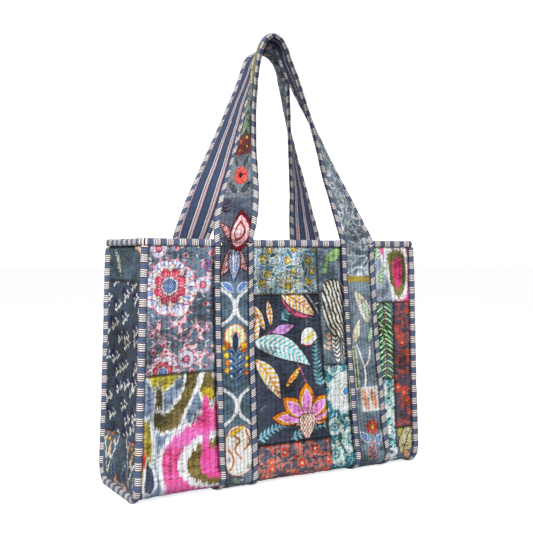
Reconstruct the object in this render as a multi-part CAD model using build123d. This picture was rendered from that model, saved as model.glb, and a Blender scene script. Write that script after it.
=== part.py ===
from build123d import *
import math
import os

# Driving dimensions in millimetres. Origin: middle of the footprint on the ground. The front faces -Y.
BAG_WIDTH = 460.0
BAG_DEPTH = 150.0
BAG_HEIGHT = 350.0
BOTTOM_RADIUS = 30.0

# Cloth layers of every panel, outside to inside.
COVER_THICKNESS = 1.2
WADDING_THICKNESS = 2.4
LINING_THICKNESS = 1.0

# Bound edges.
SEAM_BINDING = 8.0
TOP_BINDING_HEIGHT = 9.0
TOP_BINDING_PROUD = 1.5
COVER_SETBACK = 3.0

# Straps, which are sewn on the panels and form the handles above them.
STRAP_WIDTH = 60.0
STRAP_BINDING_WIDTH = 7.0
BAND_SETBACK = 0.6
LEFT_STRAP_TOP_X = -92.0
LEFT_STRAP_BOTTOM_X = -80.0
RIGHT_STRAP_TOP_X = 118.0
RIGHT_STRAP_BOTTOM_X = 150.0

# Handles: two straight, twisted legs and an arch where the strap hangs over a hook.
HANDLE_GAP = 0.5
HANDLE_BASE_Y = 72.3
HANDLE_CORE_THICKNESS = 2.6
HANDLE_LAYER_THICKNESS = 0.95
HANDLE_LAYER_GAP = 0.05
HANDLE_BINDING_THICKNESS = 5.4
HANDLE_APEX_WIDTH = 54.0
ARCH_CENTRE_Z = 600.0
ARCH_HALF_SPAN = 25.0
ARCH_START_ANGLE = 20.0
LEG_STATIONS = 9
ARCH_STATIONS = 9

# Worked out from the above.
HALF_WIDTH = BAG_WIDTH / 2
HALF_DEPTH = BAG_DEPTH / 2
PANEL_HALF_WIDTH = HALF_WIDTH - SEAM_BINDING
GUSSET_HALF_DEPTH = HALF_DEPTH - SEAM_BINDING
PANEL_TOP = BAG_HEIGHT - TOP_BINDING_HEIGHT
WADDING_OFFSET = COVER_SETBACK + COVER_THICKNESS
LINING_OFFSET = WADDING_OFFSET + WADDING_THICKNESS
INNER_OFFSET = LINING_OFFSET + LINING_THICKNESS


def export(name, shape):
    """Writes one node's STEP file."""
    shape.label = name
    export_step(shape, f"parts/{name}.step")


def block(x_range, y_range, z_range):
    """A box between two corners."""
    size = [high - low for low, high in (x_range, y_range, z_range)]
    middle = [(high + low) / 2 for low, high in (x_range, y_range, z_range)]
    return Pos(*middle) * Box(*size)


def tub(offset, x_low, x_high, top):
    """The bag's side outline, drawn in by an offset and extruded across the width."""
    height = top - offset
    outline = Pos(0, offset + height / 2) * Rectangle(2 * (HALF_DEPTH - offset), height)
    lower_corners = outline.vertices().sort_by(Axis.Y)[:2]
    outline = fillet(lower_corners, BOTTOM_RADIUS - offset)
    return Pos(x_low, 0, 0) * extrude(Plane.YZ * outline, x_high - x_low)


def tub_layer(outer, inner, x_low, x_high, top=PANEL_TOP):
    """One layer of the panel that runs down the front, under the base and up the back."""
    overshoot = 1.0
    return tub(outer, x_low, x_high, top) - tub(inner, x_low, x_high, top + overshoot)


def upright_plate(outline, outer, inner, side):
    """A flat plate of the front (side -1) or back (side 1), from its outline in X and Z."""
    face = make_face(Polyline(*[(x, side * (HALF_DEPTH - inner), z) for x, z in outline], close=True))
    return extrude(face, amount=inner - outer, dir=(0, side, 0))


# Seams of the front cover: X where each one crosses the height z.
def seam_under_left_strap(z):
    return LEFT_STRAP_TOP_X + (LEFT_STRAP_BOTTOM_X - LEFT_STRAP_TOP_X) * (BAG_HEIGHT - z) / BAG_HEIGHT


def seam_under_right_strap(z):
    return RIGHT_STRAP_TOP_X + (RIGHT_STRAP_BOTTOM_X - RIGHT_STRAP_TOP_X) * (BAG_HEIGHT - z) / BAG_HEIGHT


def seam_in_middle(z):
    top_x, slope = 45.0, 0.1
    return top_x + slope * (PANEL_TOP - z)


def seam_far_right(z):
    return 192.0


def left_edge(z):
    return -PANEL_HALF_WIDTH


def right_edge(z):
    return PANEL_HALF_WIDTH


def cover_patch(left, right, z_low, z_high, side):
    """One patch of the front or back cover, between two seams."""
    outline = [(left(z_low), z_low), (right(z_low), z_low), (right(z_high), z_high), (left(z_high), z_high)]
    return upright_plate(outline, COVER_SETBACK, WADDING_OFFSET, side)


def front_cover():
    """Twelve patches, from the left edge to the right."""
    low, top = BOTTOM_RADIUS, PANEL_TOP
    left, middle, right, far = (
        seam_under_left_strap,
        seam_in_middle,
        seam_under_right_strap,
        seam_far_right,
    )
    ikat_top, coral_top, scroll_bottom, sea_top = 169.0, 57.0, 272.0, 165.0
    pink_bottom, palm_bottom, stem_top = 256.0, 136.0, 60.0
    return {
        "front_patch_big_flower": cover_patch(left_edge, left, ikat_top, top, -1),
        "front_patch_ikat": cover_patch(left_edge, left, low, ikat_top, -1),
        "front_patch_scrolls": cover_patch(left, middle, scroll_bottom, top, -1),
        "front_patch_leaves": cover_patch(left, middle, coral_top, scroll_bottom, -1),
        "front_patch_coral": cover_patch(left, middle, low, coral_top, -1),
        "front_patch_stripes": cover_patch(middle, right, sea_top, top, -1),
        "front_patch_sea_flowers": cover_patch(middle, right, low, sea_top, -1),
        "front_patch_pink_ikat": cover_patch(right, right_edge, pink_bottom, top, -1),
        "front_patch_palm": cover_patch(right, far, palm_bottom, pink_bottom, -1),
        "front_patch_rust": cover_patch(far, right_edge, stem_top, pink_bottom, -1),
        "front_patch_teal": cover_patch(right, far, low, palm_bottom, -1),
        "front_patch_stems": cover_patch(far, right_edge, low, stem_top, -1),
    }


def back_cover():
    """Six larger patches, with their seams under the straps."""
    low, top = BOTTOM_RADIUS, PANEL_TOP
    left, right = seam_under_left_strap, seam_under_right_strap
    left_split, middle_split, right_split = 190.0, 150.0, 220.0
    return {
        "back_patch_upper_left": cover_patch(left_edge, left, left_split, top, 1),
        "back_patch_lower_left": cover_patch(left_edge, left, low, left_split, 1),
        "back_patch_upper_middle": cover_patch(left, right, middle_split, top, 1),
        "back_patch_lower_middle": cover_patch(left, right, low, middle_split, 1),
        "back_patch_upper_right": cover_patch(right, right_edge, right_split, top, 1),
        "back_patch_lower_right": cover_patch(right, right_edge, low, right_split, 1),
    }


def base_slab(outer, inner, x_low, x_high):
    """The turned-up bottom of a layer, below the upright plates."""
    slab = tub_layer(outer, inner, x_low, x_high)
    reach = HALF_DEPTH
    return slab & block((x_low, x_high), (-reach, reach), (0, BOTTOM_RADIUS))


def base_cover():
    left_x, right_x = seam_under_left_strap(BOTTOM_RADIUS), seam_under_right_strap(BOTTOM_RADIUS)
    outer, inner = COVER_SETBACK, WADDING_OFFSET
    return {
        "base_patch_left": base_slab(outer, inner, -PANEL_HALF_WIDTH, left_x),
        "base_patch_middle": base_slab(outer, inner, left_x, right_x),
        "base_patch_right": base_slab(outer, inner, right_x, PANEL_HALF_WIDTH),
    }


def gusset_plate(outer, inner, side, z_low, z_high):
    """Part of a gusset, between two heights, inside the gusset binding."""
    x_outer, x_inner = HALF_WIDTH - outer, HALF_WIDTH - inner
    x_low, x_high = sorted((side * x_outer, side * x_inner))
    plate = tub(SEAM_BINDING, x_low, x_high, PANEL_TOP)
    return plate & block((x_low, x_high), (-HALF_DEPTH, HALF_DEPTH), (z_low, z_high))


def gusset_cover(name, side, seams):
    """Three patches, one above the other."""
    heights = [SEAM_BINDING, *seams, PANEL_TOP]
    levels = ("bottom", "middle", "top")
    return {
        f"{name}_gusset_patch_{level}": gusset_plate(COVER_SETBACK, WADDING_OFFSET, side, low, high)
        for level, low, high in zip(levels, heights, heights[1:])
    }


def wadding():
    outer, inner = WADDING_OFFSET, LINING_OFFSET
    full = [
        (-PANEL_HALF_WIDTH, BOTTOM_RADIUS),
        (PANEL_HALF_WIDTH, BOTTOM_RADIUS),
        (PANEL_HALF_WIDTH, PANEL_TOP),
        (-PANEL_HALF_WIDTH, PANEL_TOP),
    ]
    return {
        "front_wadding": upright_plate(full, outer, inner, -1),
        "back_wadding": upright_plate(full, outer, inner, 1),
        "base_wadding": base_slab(outer, inner, -PANEL_HALF_WIDTH, PANEL_HALF_WIDTH),
        "left_gusset_wadding": gusset_plate(outer, inner, -1, SEAM_BINDING, PANEL_TOP),
        "right_gusset_wadding": gusset_plate(outer, inner, 1, SEAM_BINDING, PANEL_TOP),
    }


def lining():
    outer, inner = LINING_OFFSET, INNER_OFFSET
    return {
        "body_lining": tub_layer(outer, inner, -PANEL_HALF_WIDTH, PANEL_HALF_WIDTH),
        "left_gusset_lining": gusset_plate(outer, inner, -1, SEAM_BINDING, PANEL_TOP),
        "right_gusset_lining": gusset_plate(outer, inner, 1, SEAM_BINDING, PANEL_TOP),
    }


def gusset_binding(side):
    """Bound seam round three sides of a gusset."""
    x_low, x_high = sorted((side * HALF_WIDTH, side * PANEL_HALF_WIDTH))
    return tub_layer(0, SEAM_BINDING, x_low, x_high)


def top_binding():
    """Ring that wraps the top edge of all four walls."""
    proud, inner = TOP_BINDING_PROUD, INNER_OFFSET + TOP_BINDING_PROUD
    heights = (PANEL_TOP, BAG_HEIGHT)
    outer_block = block(
        (-HALF_WIDTH + proud, HALF_WIDTH - proud), (-HALF_DEPTH + proud, HALF_DEPTH - proud), heights
    )
    inner_block = block(
        (-HALF_WIDTH + inner, HALF_WIDTH - inner), (-HALF_DEPTH + inner, HALF_DEPTH - inner), heights
    )
    return outer_block - inner_block


def strap_strip(seam, from_x, to_x, outer, side):
    """Upright strip of a strap, from its centre line plus from_x to plus to_x."""
    low, high = BOTTOM_RADIUS, BAG_HEIGHT
    outline = [(seam(z) + x, z) for x, z in ((from_x, low), (to_x, low), (to_x, high), (from_x, high))]
    return upright_plate(outline, outer, COVER_SETBACK, side)


def strap_bands(name, seam, ring):
    """Strap covers sewn on the front, under the base and on the back."""
    reach = STRAP_WIDTH / 2 - STRAP_BINDING_WIDTH
    base_x = seam(BOTTOM_RADIUS)
    return {
        f"front_{name}_band": strap_strip(seam, -reach, reach, BAND_SETBACK, -1) - ring,
        f"base_{name}_band": base_slab(BAND_SETBACK, COVER_SETBACK, base_x - reach, base_x + reach),
        f"back_{name}_band": strap_strip(seam, -reach, reach, BAND_SETBACK, 1) - ring,
    }


def strap_binding(seam, from_x, to_x, ring):
    """One bound edge of a strap, down the front, under the base and up the back."""
    base_x = seam(BOTTOM_RADIUS)
    front = strap_strip(seam, from_x, to_x, 0, -1)
    back = strap_strip(seam, from_x, to_x, 0, 1)
    base = base_slab(0, COVER_SETBACK, base_x + from_x, base_x + to_x)
    return (front + base + back) - ring


def strap_bindings(name, seam, ring):
    reach = STRAP_WIDTH / 2
    inset = reach - STRAP_BINDING_WIDTH
    return {
        f"{name}_band_left_binding": strap_binding(seam, -reach, -inset, ring),
        f"{name}_band_right_binding": strap_binding(seam, inset, reach, ring),
    }


def twist(share, end_angle, power):
    """Angle of the strap's width from the X axis, at a share of the way up a leg."""
    return math.radians(end_angle) * (1 - (1 - share) ** power)


def handle_stations(base_y, outward, apex, rise, left_leg, right_leg):
    """Stations from the left base over the arch to the right base.

    Each one is a centre, the direction across the strap towards its right edge at the left base,
    the outward direction of its printed face, and a width. A leg is (base x, end angle, power).
    """
    apex_x, apex_y = apex
    left_x, left_end, left_power = left_leg
    right_x, right_end, right_power = right_leg
    near_left, near_right = math.radians(left_end), math.radians(right_end)
    far_axis = Vector(-math.cos(near_left), math.sin(near_left), 0).normalized()
    far_axis += Vector(math.cos(near_right), math.sin(near_right), 0).normalized()
    far_axis = far_axis.normalized()
    span_axis = Vector(far_axis.Y, -far_axis.X, 0)

    def arch_point(angle):
        across = span_axis * (-ARCH_HALF_SPAN * math.cos(angle))
        return Vector(apex_x, apex_y, ARCH_CENTRE_Z + rise * math.sin(angle)) + across

    start = math.radians(ARCH_START_ANGLE)
    base_z = BAG_HEIGHT + HANDLE_GAP
    left_base, right_base = Vector(left_x, base_y, base_z), Vector(right_x, base_y, base_z)
    left_top, right_top = arch_point(start), arch_point(math.pi - start)
    stations = []
    for index in range(LEG_STATIONS):
        share = index / LEG_STATIONS
        angle = twist(share, left_end, left_power)
        width = STRAP_WIDTH + (HANDLE_APEX_WIDTH - STRAP_WIDTH) * share
        stations.append((left_base + (left_top - left_base) * share, -angle, width))
    turned = math.pi - near_left - near_right
    for index in range(ARCH_STATIONS):
        share = index / (ARCH_STATIONS - 1)
        angle = start + (math.pi - 2 * start) * share
        stations.append((arch_point(angle), -near_left - turned * share, HANDLE_APEX_WIDTH))
    for index in reversed(range(LEG_STATIONS)):
        share = index / LEG_STATIONS
        angle = twist(share, right_end, right_power)
        width = STRAP_WIDTH + (HANDLE_APEX_WIDTH - STRAP_WIDTH) * share
        stations.append((right_base + (right_top - right_base) * share, angle - math.pi, width))
    centres = [station[0] for station in stations]
    result = []
    for index, (centre, angle, width) in enumerate(stations):
        along = centres[min(index + 1, len(centres) - 1)] - centres[max(index - 1, 0)]
        if index in (0, len(centres) - 1):
            along = Vector(0, 0, 1 if index == 0 else -1)
        across = Vector(math.cos(angle), math.sin(angle), 0)
        normal = across.cross(along).normalized() * outward
        result.append((centre, across, normal, width / STRAP_WIDTH))
    return result


def handle_layer(stations, across_range, normal_range):
    """A strip of the strap between two distances across it and two through it."""
    sections = []
    for centre, across, normal, scale in stations:
        low, high = [value * scale for value in across_range]
        inner, outer = normal_range
        corners = [(low, inner), (high, inner), (high, outer), (low, outer)]
        points = [centre + across * a + normal * n for a, n in corners]
        sections.append(Polyline(*points, close=True))
    return loft([make_face(section) for section in sections], ruled=True)


def handle(name, stations):
    core = HANDLE_CORE_THICKNESS / 2
    inner = core + HANDLE_LAYER_GAP
    outer = inner + HANDLE_LAYER_THICKNESS
    edge = STRAP_WIDTH / 2
    body = edge - STRAP_BINDING_WIDTH
    bound = body + HANDLE_LAYER_GAP
    half_bound = HANDLE_BINDING_THICKNESS / 2
    return {
        f"{name}_handle_cover": handle_layer(stations, (-body, body), (inner, outer)),
        f"{name}_handle_core": handle_layer(stations, (-body, body), (-core, core)),
        f"{name}_handle_lining": handle_layer(stations, (-body, body), (-outer, -inner)),
        f"{name}_handle_near_binding": handle_layer(stations, (bound, edge), (-half_bound, half_bound)),
        f"{name}_handle_far_binding": handle_layer(stations, (-edge, -bound), (-half_bound, half_bound)),
    }


def build():
    ring = top_binding()
    front_stations = handle_stations(
        base_y=-HANDLE_BASE_Y,
        outward=1,
        apex=(-6.0, -29.0),
        rise=50.0,
        left_leg=(LEFT_STRAP_TOP_X, 112.0, 2.3),
        right_leg=(RIGHT_STRAP_TOP_X, 72.0, 1.3),
    )
    back_stations = handle_stations(
        base_y=HANDLE_BASE_Y,
        outward=-1,
        apex=(18.0, 29.0),
        rise=42.0,
        left_leg=(LEFT_STRAP_TOP_X, 88.0, 1.7),
        right_leg=(RIGHT_STRAP_TOP_X, 74.0, 1.4),
    )
    nodes = {
        **front_cover(),
        **back_cover(),
        **base_cover(),
        **gusset_cover("left", -1, (78.0, 292.0)),
        **gusset_cover("right", 1, (110.0, 215.0)),
        **wadding(),
        **lining(),
        "left_gusset_binding": gusset_binding(-1),
        "right_gusset_binding": gusset_binding(1),
        "top_binding": ring,
        **strap_bands("left", seam_under_left_strap, ring),
        **strap_bands("right", seam_under_right_strap, ring),
        **strap_bindings("left", seam_under_left_strap, ring),
        **strap_bindings("right", seam_under_right_strap, ring),
        **handle("front", front_stations),
        **handle("back", back_stations),
    }
    os.makedirs("parts", exist_ok=True)
    for name, shape in nodes.items():
        export(name, shape)


build()
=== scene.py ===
import math

import bpy
import numpy as np
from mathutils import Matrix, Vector


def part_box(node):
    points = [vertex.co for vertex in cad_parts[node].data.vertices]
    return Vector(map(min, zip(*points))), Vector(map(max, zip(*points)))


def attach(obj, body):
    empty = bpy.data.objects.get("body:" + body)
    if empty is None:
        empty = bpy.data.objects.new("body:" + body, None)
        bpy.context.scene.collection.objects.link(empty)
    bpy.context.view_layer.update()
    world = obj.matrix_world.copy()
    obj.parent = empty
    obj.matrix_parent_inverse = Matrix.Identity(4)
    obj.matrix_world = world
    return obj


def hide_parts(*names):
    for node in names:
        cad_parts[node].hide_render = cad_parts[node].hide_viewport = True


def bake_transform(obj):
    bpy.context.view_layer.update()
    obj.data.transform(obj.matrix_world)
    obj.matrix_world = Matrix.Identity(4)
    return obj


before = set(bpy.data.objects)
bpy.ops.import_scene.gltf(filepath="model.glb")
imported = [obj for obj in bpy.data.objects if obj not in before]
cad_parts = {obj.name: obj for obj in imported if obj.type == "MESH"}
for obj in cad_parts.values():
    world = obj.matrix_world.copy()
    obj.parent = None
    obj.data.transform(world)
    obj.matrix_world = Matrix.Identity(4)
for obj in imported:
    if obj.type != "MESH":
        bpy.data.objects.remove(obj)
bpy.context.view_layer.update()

# Every length below is in millimetres unless its name says otherwise; meshes are scaled by MM at the end.
MM = 0.001


def node_box(name):
    """A CAD node's lowest and highest corners, in millimetres."""
    return [np.array(corner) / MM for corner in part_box(name)]


# The bag's measures, read from the frame.
BINDING_LOW, BINDING_HIGH = node_box("left_gusset_binding")
HALF_WIDTH = -BINDING_LOW[0]
HALF_DEPTH = -BINDING_LOW[1]
PANEL_TOP = BINDING_HIGH[2]
SEAM_BINDING = HALF_WIDTH + BINDING_HIGH[0]
BAG_TOP = node_box("top_binding")[1][2]
RADIUS = node_box("base_patch_middle")[1][2]
PANEL_HALF_WIDTH = HALF_WIDTH - SEAM_BINDING
CORNER_Y = HALF_DEPTH - RADIUS

# Depths of the cloth layers under the bag's outer face.
COVER_DEPTH = (3.0, 4.2)
WADDING_DEPTH = (4.3, 6.5)
LINING_DEPTH = (6.6, 7.6)
BAND_DEPTH = (0.5, 1.9)
STRAP_BINDING_DEPTH = (-0.8, 2.6)

# Straps: the X of each centre line at the top edge and at the ground, and the widths across.
STRAP_LINES = {"left": (-92.0, -80.0), "right": (118.0, 150.0)}
STRAP_HALF = 30.0
STRAP_EDGE = 8.0
BAND_HALF = STRAP_HALF - STRAP_EDGE + 1.5
BAND_TOP = 345.0

# Lengths along the side outline, from the front's top edge to the back's.
FRONT_LENGTH = PANEL_TOP - RADIUS
CORNER_LENGTH = RADIUS * math.pi / 2
BASE_LENGTH = 2 * CORNER_Y
CORNER_END = FRONT_LENGTH + CORNER_LENGTH
BASE_END = CORNER_END + BASE_LENGTH
BACK_START = BASE_END + CORNER_LENGTH
OUTLINE_LENGTH = BACK_START + FRONT_LENGTH


# ---------------------------------------------------------------- numbers shared by shapes and prints
def smoothstep(low, high, value):
    t = np.clip((value - low) / (high - low), 0, 1)
    return t * t * (3 - 2 * t)


def lattice(i, j, seed):
    """A fixed pseudo-random number from 0 to 1 for each whole-number cell."""
    wave = np.sin(i * 127.1 + j * 311.7 + seed * 74.7) * 43758.5453
    return wave - np.floor(wave)


def noise(u, v, seed=0):
    """Smooth noise from -1 to 1 with cells one unit wide."""
    i, j = np.floor(u), np.floor(v)
    s, t = smoothstep(0, 1, u - i), smoothstep(0, 1, v - j)
    near = lattice(i, j, seed) * (1 - s) + lattice(i + 1, j, seed) * s
    far = lattice(i, j + 1, seed) * (1 - s) + lattice(i + 1, j + 1, seed) * s
    return 2 * (near * (1 - t) + far * t) - 1


def rgb(code):
    """A hex colour as linear red, green and blue."""
    parts = np.array([int(code[k : k + 2], 16) for k in (1, 3, 5)]) / 255
    return np.where(parts <= 0.04045, parts / 12.92, ((parts + 0.055) / 1.055) ** 2.4)


def rgba(code):
    return (*rgb(code), 1.0)


# ---------------------------------------------------------------- the shell's shape
def outline(s, depth):
    """(y, z) on the side outline, s along it from the front's top edge, depth under the outer face."""
    r = RADIUS - depth
    front_turn = np.clip((s - FRONT_LENGTH) / RADIUS, 0, math.pi / 2)
    back_turn = np.clip((s - BASE_END) / RADIUS, 0, math.pi / 2)
    stretches = [s < FRONT_LENGTH, s < CORNER_END, s < BASE_END, s < BACK_START]
    y = np.select(
        stretches,
        [
            depth - HALF_DEPTH + 0 * s,
            -CORNER_Y - r * np.cos(front_turn),
            s - CORNER_END - CORNER_Y,
            CORNER_Y + r * np.sin(back_turn),
        ],
        HALF_DEPTH - depth,
    )
    z = np.select(
        stretches,
        [PANEL_TOP - s, RADIUS - r * np.sin(front_turn), depth + 0 * s, RADIUS - r * np.cos(back_turn)],
        RADIUS + s - BACK_START,
    )
    return y, z


SHELL_COLUMNS = 46
FRONT_ROWS, CORNER_ROWS, BASE_ROWS = 31, 5, 9
SHELL_S = np.concatenate(
    [
        np.linspace(0, FRONT_LENGTH, FRONT_ROWS + 1),
        np.linspace(FRONT_LENGTH, CORNER_END, CORNER_ROWS + 1)[1:],
        np.linspace(CORNER_END, BASE_END, BASE_ROWS + 1)[1:],
        np.linspace(BASE_END, BACK_START, CORNER_ROWS + 1)[1:],
        np.linspace(BACK_START, OUTLINE_LENGTH, FRONT_ROWS + 1)[1:],
    ]
)
GUSSET_ROWS = FRONT_ROWS + CORNER_ROWS
SHELL_DEPTH = 3.0
SIM_FRAMES = 24
SAG_LIMIT = 6.5


def shell_mesh():
    """Coarse shell for the simulation: vertices, faces, and the vertex numbers of each panel as a grid."""
    rows = len(SHELL_S)
    x = np.linspace(-HALF_WIDTH + SHELL_DEPTH, HALF_WIDTH - SHELL_DEPTH, SHELL_COLUMNS + 1)
    y, z = outline(SHELL_S, SHELL_DEPTH)
    tub = np.stack(np.broadcast_arrays(x[None, :], y[:, None], z[:, None]), -1).reshape(-1, 3)
    tub_ids = np.arange(rows * (SHELL_COLUMNS + 1)).reshape(rows, -1)
    points, grids = [tub], [tub_ids]
    count = len(tub)
    for column in (0, SHELL_COLUMNS):
        ids = np.zeros((GUSSET_ROWS + 1, BASE_ROWS + 1), int)
        edge = tub_ids[:, column]
        ids[:, 0] = edge[: GUSSET_ROWS + 1]
        ids[:, -1] = edge[::-1][: GUSSET_ROWS + 1]
        ids[-1] = edge[GUSSET_ROWS : GUSSET_ROWS + BASE_ROWS + 1]
        inside = ids[:-1, 1:-1]
        inside[:] = count + np.arange(inside.size).reshape(inside.shape)
        share = np.linspace(0, 1, BASE_ROWS + 1)[None, 1:-1, None]
        first, last = tub[ids[:-1, 0]][:, None], tub[ids[:-1, -1]][:, None]
        points.append((first + (last - first) * share).reshape(-1, 3))
        count += inside.size
        grids.append(ids)
    faces = []
    for ids, flip in zip(grids, (False, True, False)):
        quads = np.stack([ids[:-1, :-1], ids[:-1, 1:], ids[1:, 1:], ids[1:, :-1]], -1).reshape(-1, 4)
        faces.append(quads[:, ::-1] if flip else quads)
    return np.concatenate(points), np.concatenate(faces), grids


def simulate(points, faces, held):
    """Lets the quilted shell sag and swell. held says how firmly each vertex stays, from 0 to 1."""
    mesh = bpy.data.meshes.new("settling_shell")
    mesh.from_pydata((points * MM).tolist(), [], faces.tolist())
    shell = bpy.data.objects.new("settling_shell", mesh)
    bpy.context.scene.collection.objects.link(shell)
    group = shell.vertex_groups.new(name="held")
    for index, weight in enumerate(held):
        if weight > 0:
            group.add([index], float(weight), "REPLACE")
    cloth = shell.modifiers.new("Cloth", "CLOTH")
    cloth.settings.quality = 8
    cloth.settings.mass = 0.12
    cloth.settings.tension_stiffness = 40
    cloth.settings.compression_stiffness = 25
    cloth.settings.shear_stiffness = 12
    cloth.settings.bending_stiffness = 6
    cloth.settings.vertex_group_mass = "held"
    cloth.settings.shrink_min = -0.006
    cloth.settings.use_pressure = True
    cloth.settings.uniform_pressure_force = 1.1
    cloth.collision_settings.use_collision = False
    scene = bpy.context.scene
    for number in range(1, SIM_FRAMES + 1):
        scene.frame_set(number)
    settled = shell.evaluated_get(bpy.context.evaluated_depsgraph_get()).data
    result = np.zeros(len(points) * 3)
    settled.vertices.foreach_get("co", result)
    bpy.data.objects.remove(shell)
    bpy.data.meshes.remove(mesh)
    scene.frame_set(1)
    return result.reshape(-1, 3) / MM


def settled_shifts():
    """How far the simulation moved each vertex of the tub and of the two gussets, as grids of vectors."""
    points, faces, grids = shell_mesh()
    held = smoothstep(12, 2, points[:, 2]) + 0.9 * smoothstep(PANEL_TOP - 12, PANEL_TOP, points[:, 2])
    seam = (np.abs(points[:, 0]) > HALF_WIDTH - 5) & (np.abs(points[:, 1]) > HALF_DEPTH - 5)
    held = np.clip(held + 0.25 * seam, 0, 1)
    moved = simulate(points, faces, held) - points
    length = np.linalg.norm(moved, axis=1, keepdims=True) + 1e-9
    moved = moved * (SAG_LIMIT * np.tanh(length / SAG_LIMIT) / length)
    return [moved[ids] for ids in grids]


TUB_SHIFT, LEFT_SHIFT, RIGHT_SHIFT = settled_shifts()


def cubic_weights(t):
    """Catmull-Rom weights of four neighbouring values, t of the way from the second to the third."""
    before, start = ((2 - t) * t * t - t) / 2, (3 * t - 5) * t * t / 2 + 1
    end, after = ((4 - 3 * t) * t + 1) * t / 2, (t - 1) * t * t / 2
    return before, start, end, after


def sample(grid, i, j):
    """Smooth value of a grid of vectors at fractional rows and columns."""
    rows, columns = grid.shape[:2]
    i0 = np.clip(np.floor(i).astype(int), 0, rows - 2)
    j0 = np.clip(np.floor(j).astype(int), 0, columns - 2)
    across = cubic_weights(j - j0)
    total = 0
    for a, row_weight in enumerate(cubic_weights(i - i0)):
        row = np.clip(i0 + a - 1, 0, rows - 1)
        for b, column_weight in enumerate(across):
            column = np.clip(j0 + b - 1, 0, columns - 1)
            total = total + (row_weight * column_weight)[..., None] * grid[row, column]
    return total


TOP_DRAW_IN = -4.0
BOTTOM_FLARE = 6.0


def flare(points):
    """The ends of a soft bag draw in at its top edge and spread at its base."""
    x, z = points[..., 0], points[..., 2]
    reach = smoothstep(110, HALF_WIDTH, np.abs(x)) * np.sign(x)
    height = np.clip(z / BAG_TOP, 0, 1)
    points[..., 0] = x + reach * (BOTTOM_FLARE + (TOP_DRAW_IN - BOTTOM_FLARE) * height)
    return points


def tub_point(x, s, depth):
    """A place on the panel that runs down the front, under the base and up the back."""
    x, s, depth = np.broadcast_arrays(x, s, depth)
    y, z = outline(s, depth)
    row = np.interp(s, SHELL_S, np.arange(len(SHELL_S)))
    column = (x + HALF_WIDTH - SHELL_DEPTH) / (2 * (HALF_WIDTH - SHELL_DEPTH)) * SHELL_COLUMNS
    shift = sample(TUB_SHIFT, row, np.clip(column, 0, SHELL_COLUMNS))
    z = np.where(s < 0, PANEL_TOP - s, z)
    z = np.where(s > OUTLINE_LENGTH, PANEL_TOP + s - OUTLINE_LENGTH, z)
    return flare(np.stack([x, y, z], -1) + shift)


def gusset_half(z, inset=0.0):
    """Half the width inside the gusset's rounded lower corners, and inset from their edge, at a height."""
    r = RADIUS - inset
    lift = np.clip((RADIUS - z) / r, 0, 1)
    return CORNER_Y + r * np.sqrt(1 - lift * lift)


def gusset_point(side, y, z, depth):
    y, z, depth = np.broadcast_arrays(y, z, depth)
    lift = np.clip((RADIUS - z) / RADIUS, 0, 1)
    s = np.where(z >= RADIUS, PANEL_TOP - z, FRONT_LENGTH + RADIUS * np.arcsin(lift))
    half = gusset_half(z)
    row = np.interp(s, SHELL_S[: GUSSET_ROWS + 1], np.arange(GUSSET_ROWS + 1))
    column = np.clip((y + half) / (2 * half), 0, 1) * BASE_ROWS
    shift = sample(LEFT_SHIFT if side < 0 else RIGHT_SHIFT, row, column)
    return flare(np.stack([side * (HALF_WIDTH - depth), y, z], -1) + shift)


# ---------------------------------------------------------------- meshes
def fine_mesh(name, points, quads, triangles):
    mesh = bpy.data.meshes.new(name)
    mesh.vertices.add(len(points))
    mesh.vertices.foreach_set("co", (points * MM).astype(np.float32).ravel())
    corners = np.concatenate([quads.ravel(), triangles.ravel()])
    mesh.loops.add(len(corners))
    mesh.loops.foreach_set("vertex_index", corners.astype(np.int32))
    starts = np.concatenate([np.arange(len(quads)) * 4, quads.size + np.arange(len(triangles)) * 3])
    mesh.polygons.add(len(starts))
    mesh.polygons.foreach_set("loop_start", starts.astype(np.int32))
    mesh.polygons.foreach_set("use_smooth", np.ones(len(starts), bool))
    mesh.update(calc_edges=True)
    mesh.validate()
    return mesh


def outward(points, quads, triangles):
    """The same faces, turned so that a closed mesh's normals point out."""
    all_triangles = np.concatenate([quads[:, [0, 1, 2]], quads[:, [0, 2, 3]], triangles])
    a, b, c = (points[all_triangles[:, k]] for k in range(3))
    if (a * np.cross(b, c)).sum() < 0:
        return quads[:, ::-1], triangles[:, ::-1]
    return quads, triangles


def grid_quads(rows, columns, start):
    ids = start + np.arange((rows + 1) * (columns + 1)).reshape(rows + 1, columns + 1)
    quads = np.stack([ids[:-1, :-1], ids[:-1, 1:], ids[1:, 1:], ids[1:, :-1]], -1).reshape(-1, 4)
    return ids, quads


def rim(fine, coarse, ratio):
    """Triangles that join one side of a fine grid to the same side of a coarse one."""
    middle = ratio // 2
    triangles = []
    for k in range(len(coarse) - 1):
        chunk = fine[k * ratio : (k + 1) * ratio + 1]
        triangles.append((chunk[middle], coarse[k], coarse[k + 1]))
        for q in range(ratio):
            triangles.append((chunk[q + 1], chunk[q], coarse[k + (q >= middle)]))
    return triangles


def slab(name, face, back, ratio):
    """Closed layer of cloth: a fine grid for its face and a coarse grid for its back."""
    rows, columns = back.shape[0] - 1, back.shape[1] - 1
    face_ids, face_quads = grid_quads(rows * ratio, columns * ratio, 0)
    back_ids, back_quads = grid_quads(rows, columns, face_ids.size)
    sides = [
        (face_ids[0], back_ids[0]),
        (face_ids[:, -1], back_ids[:, -1]),
        (face_ids[-1, ::-1], back_ids[-1, ::-1]),
        (face_ids[::-1, 0], back_ids[::-1, 0]),
    ]
    triangles = np.array([t for fine, coarse in sides for t in rim(fine, coarse, ratio)])
    points = np.concatenate([face.reshape(-1, 3), back.reshape(-1, 3)])
    quads, triangles = outward(points, np.concatenate([face_quads, back_quads[:, ::-1]]), triangles)
    return fine_mesh(name, points, quads, triangles)


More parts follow.
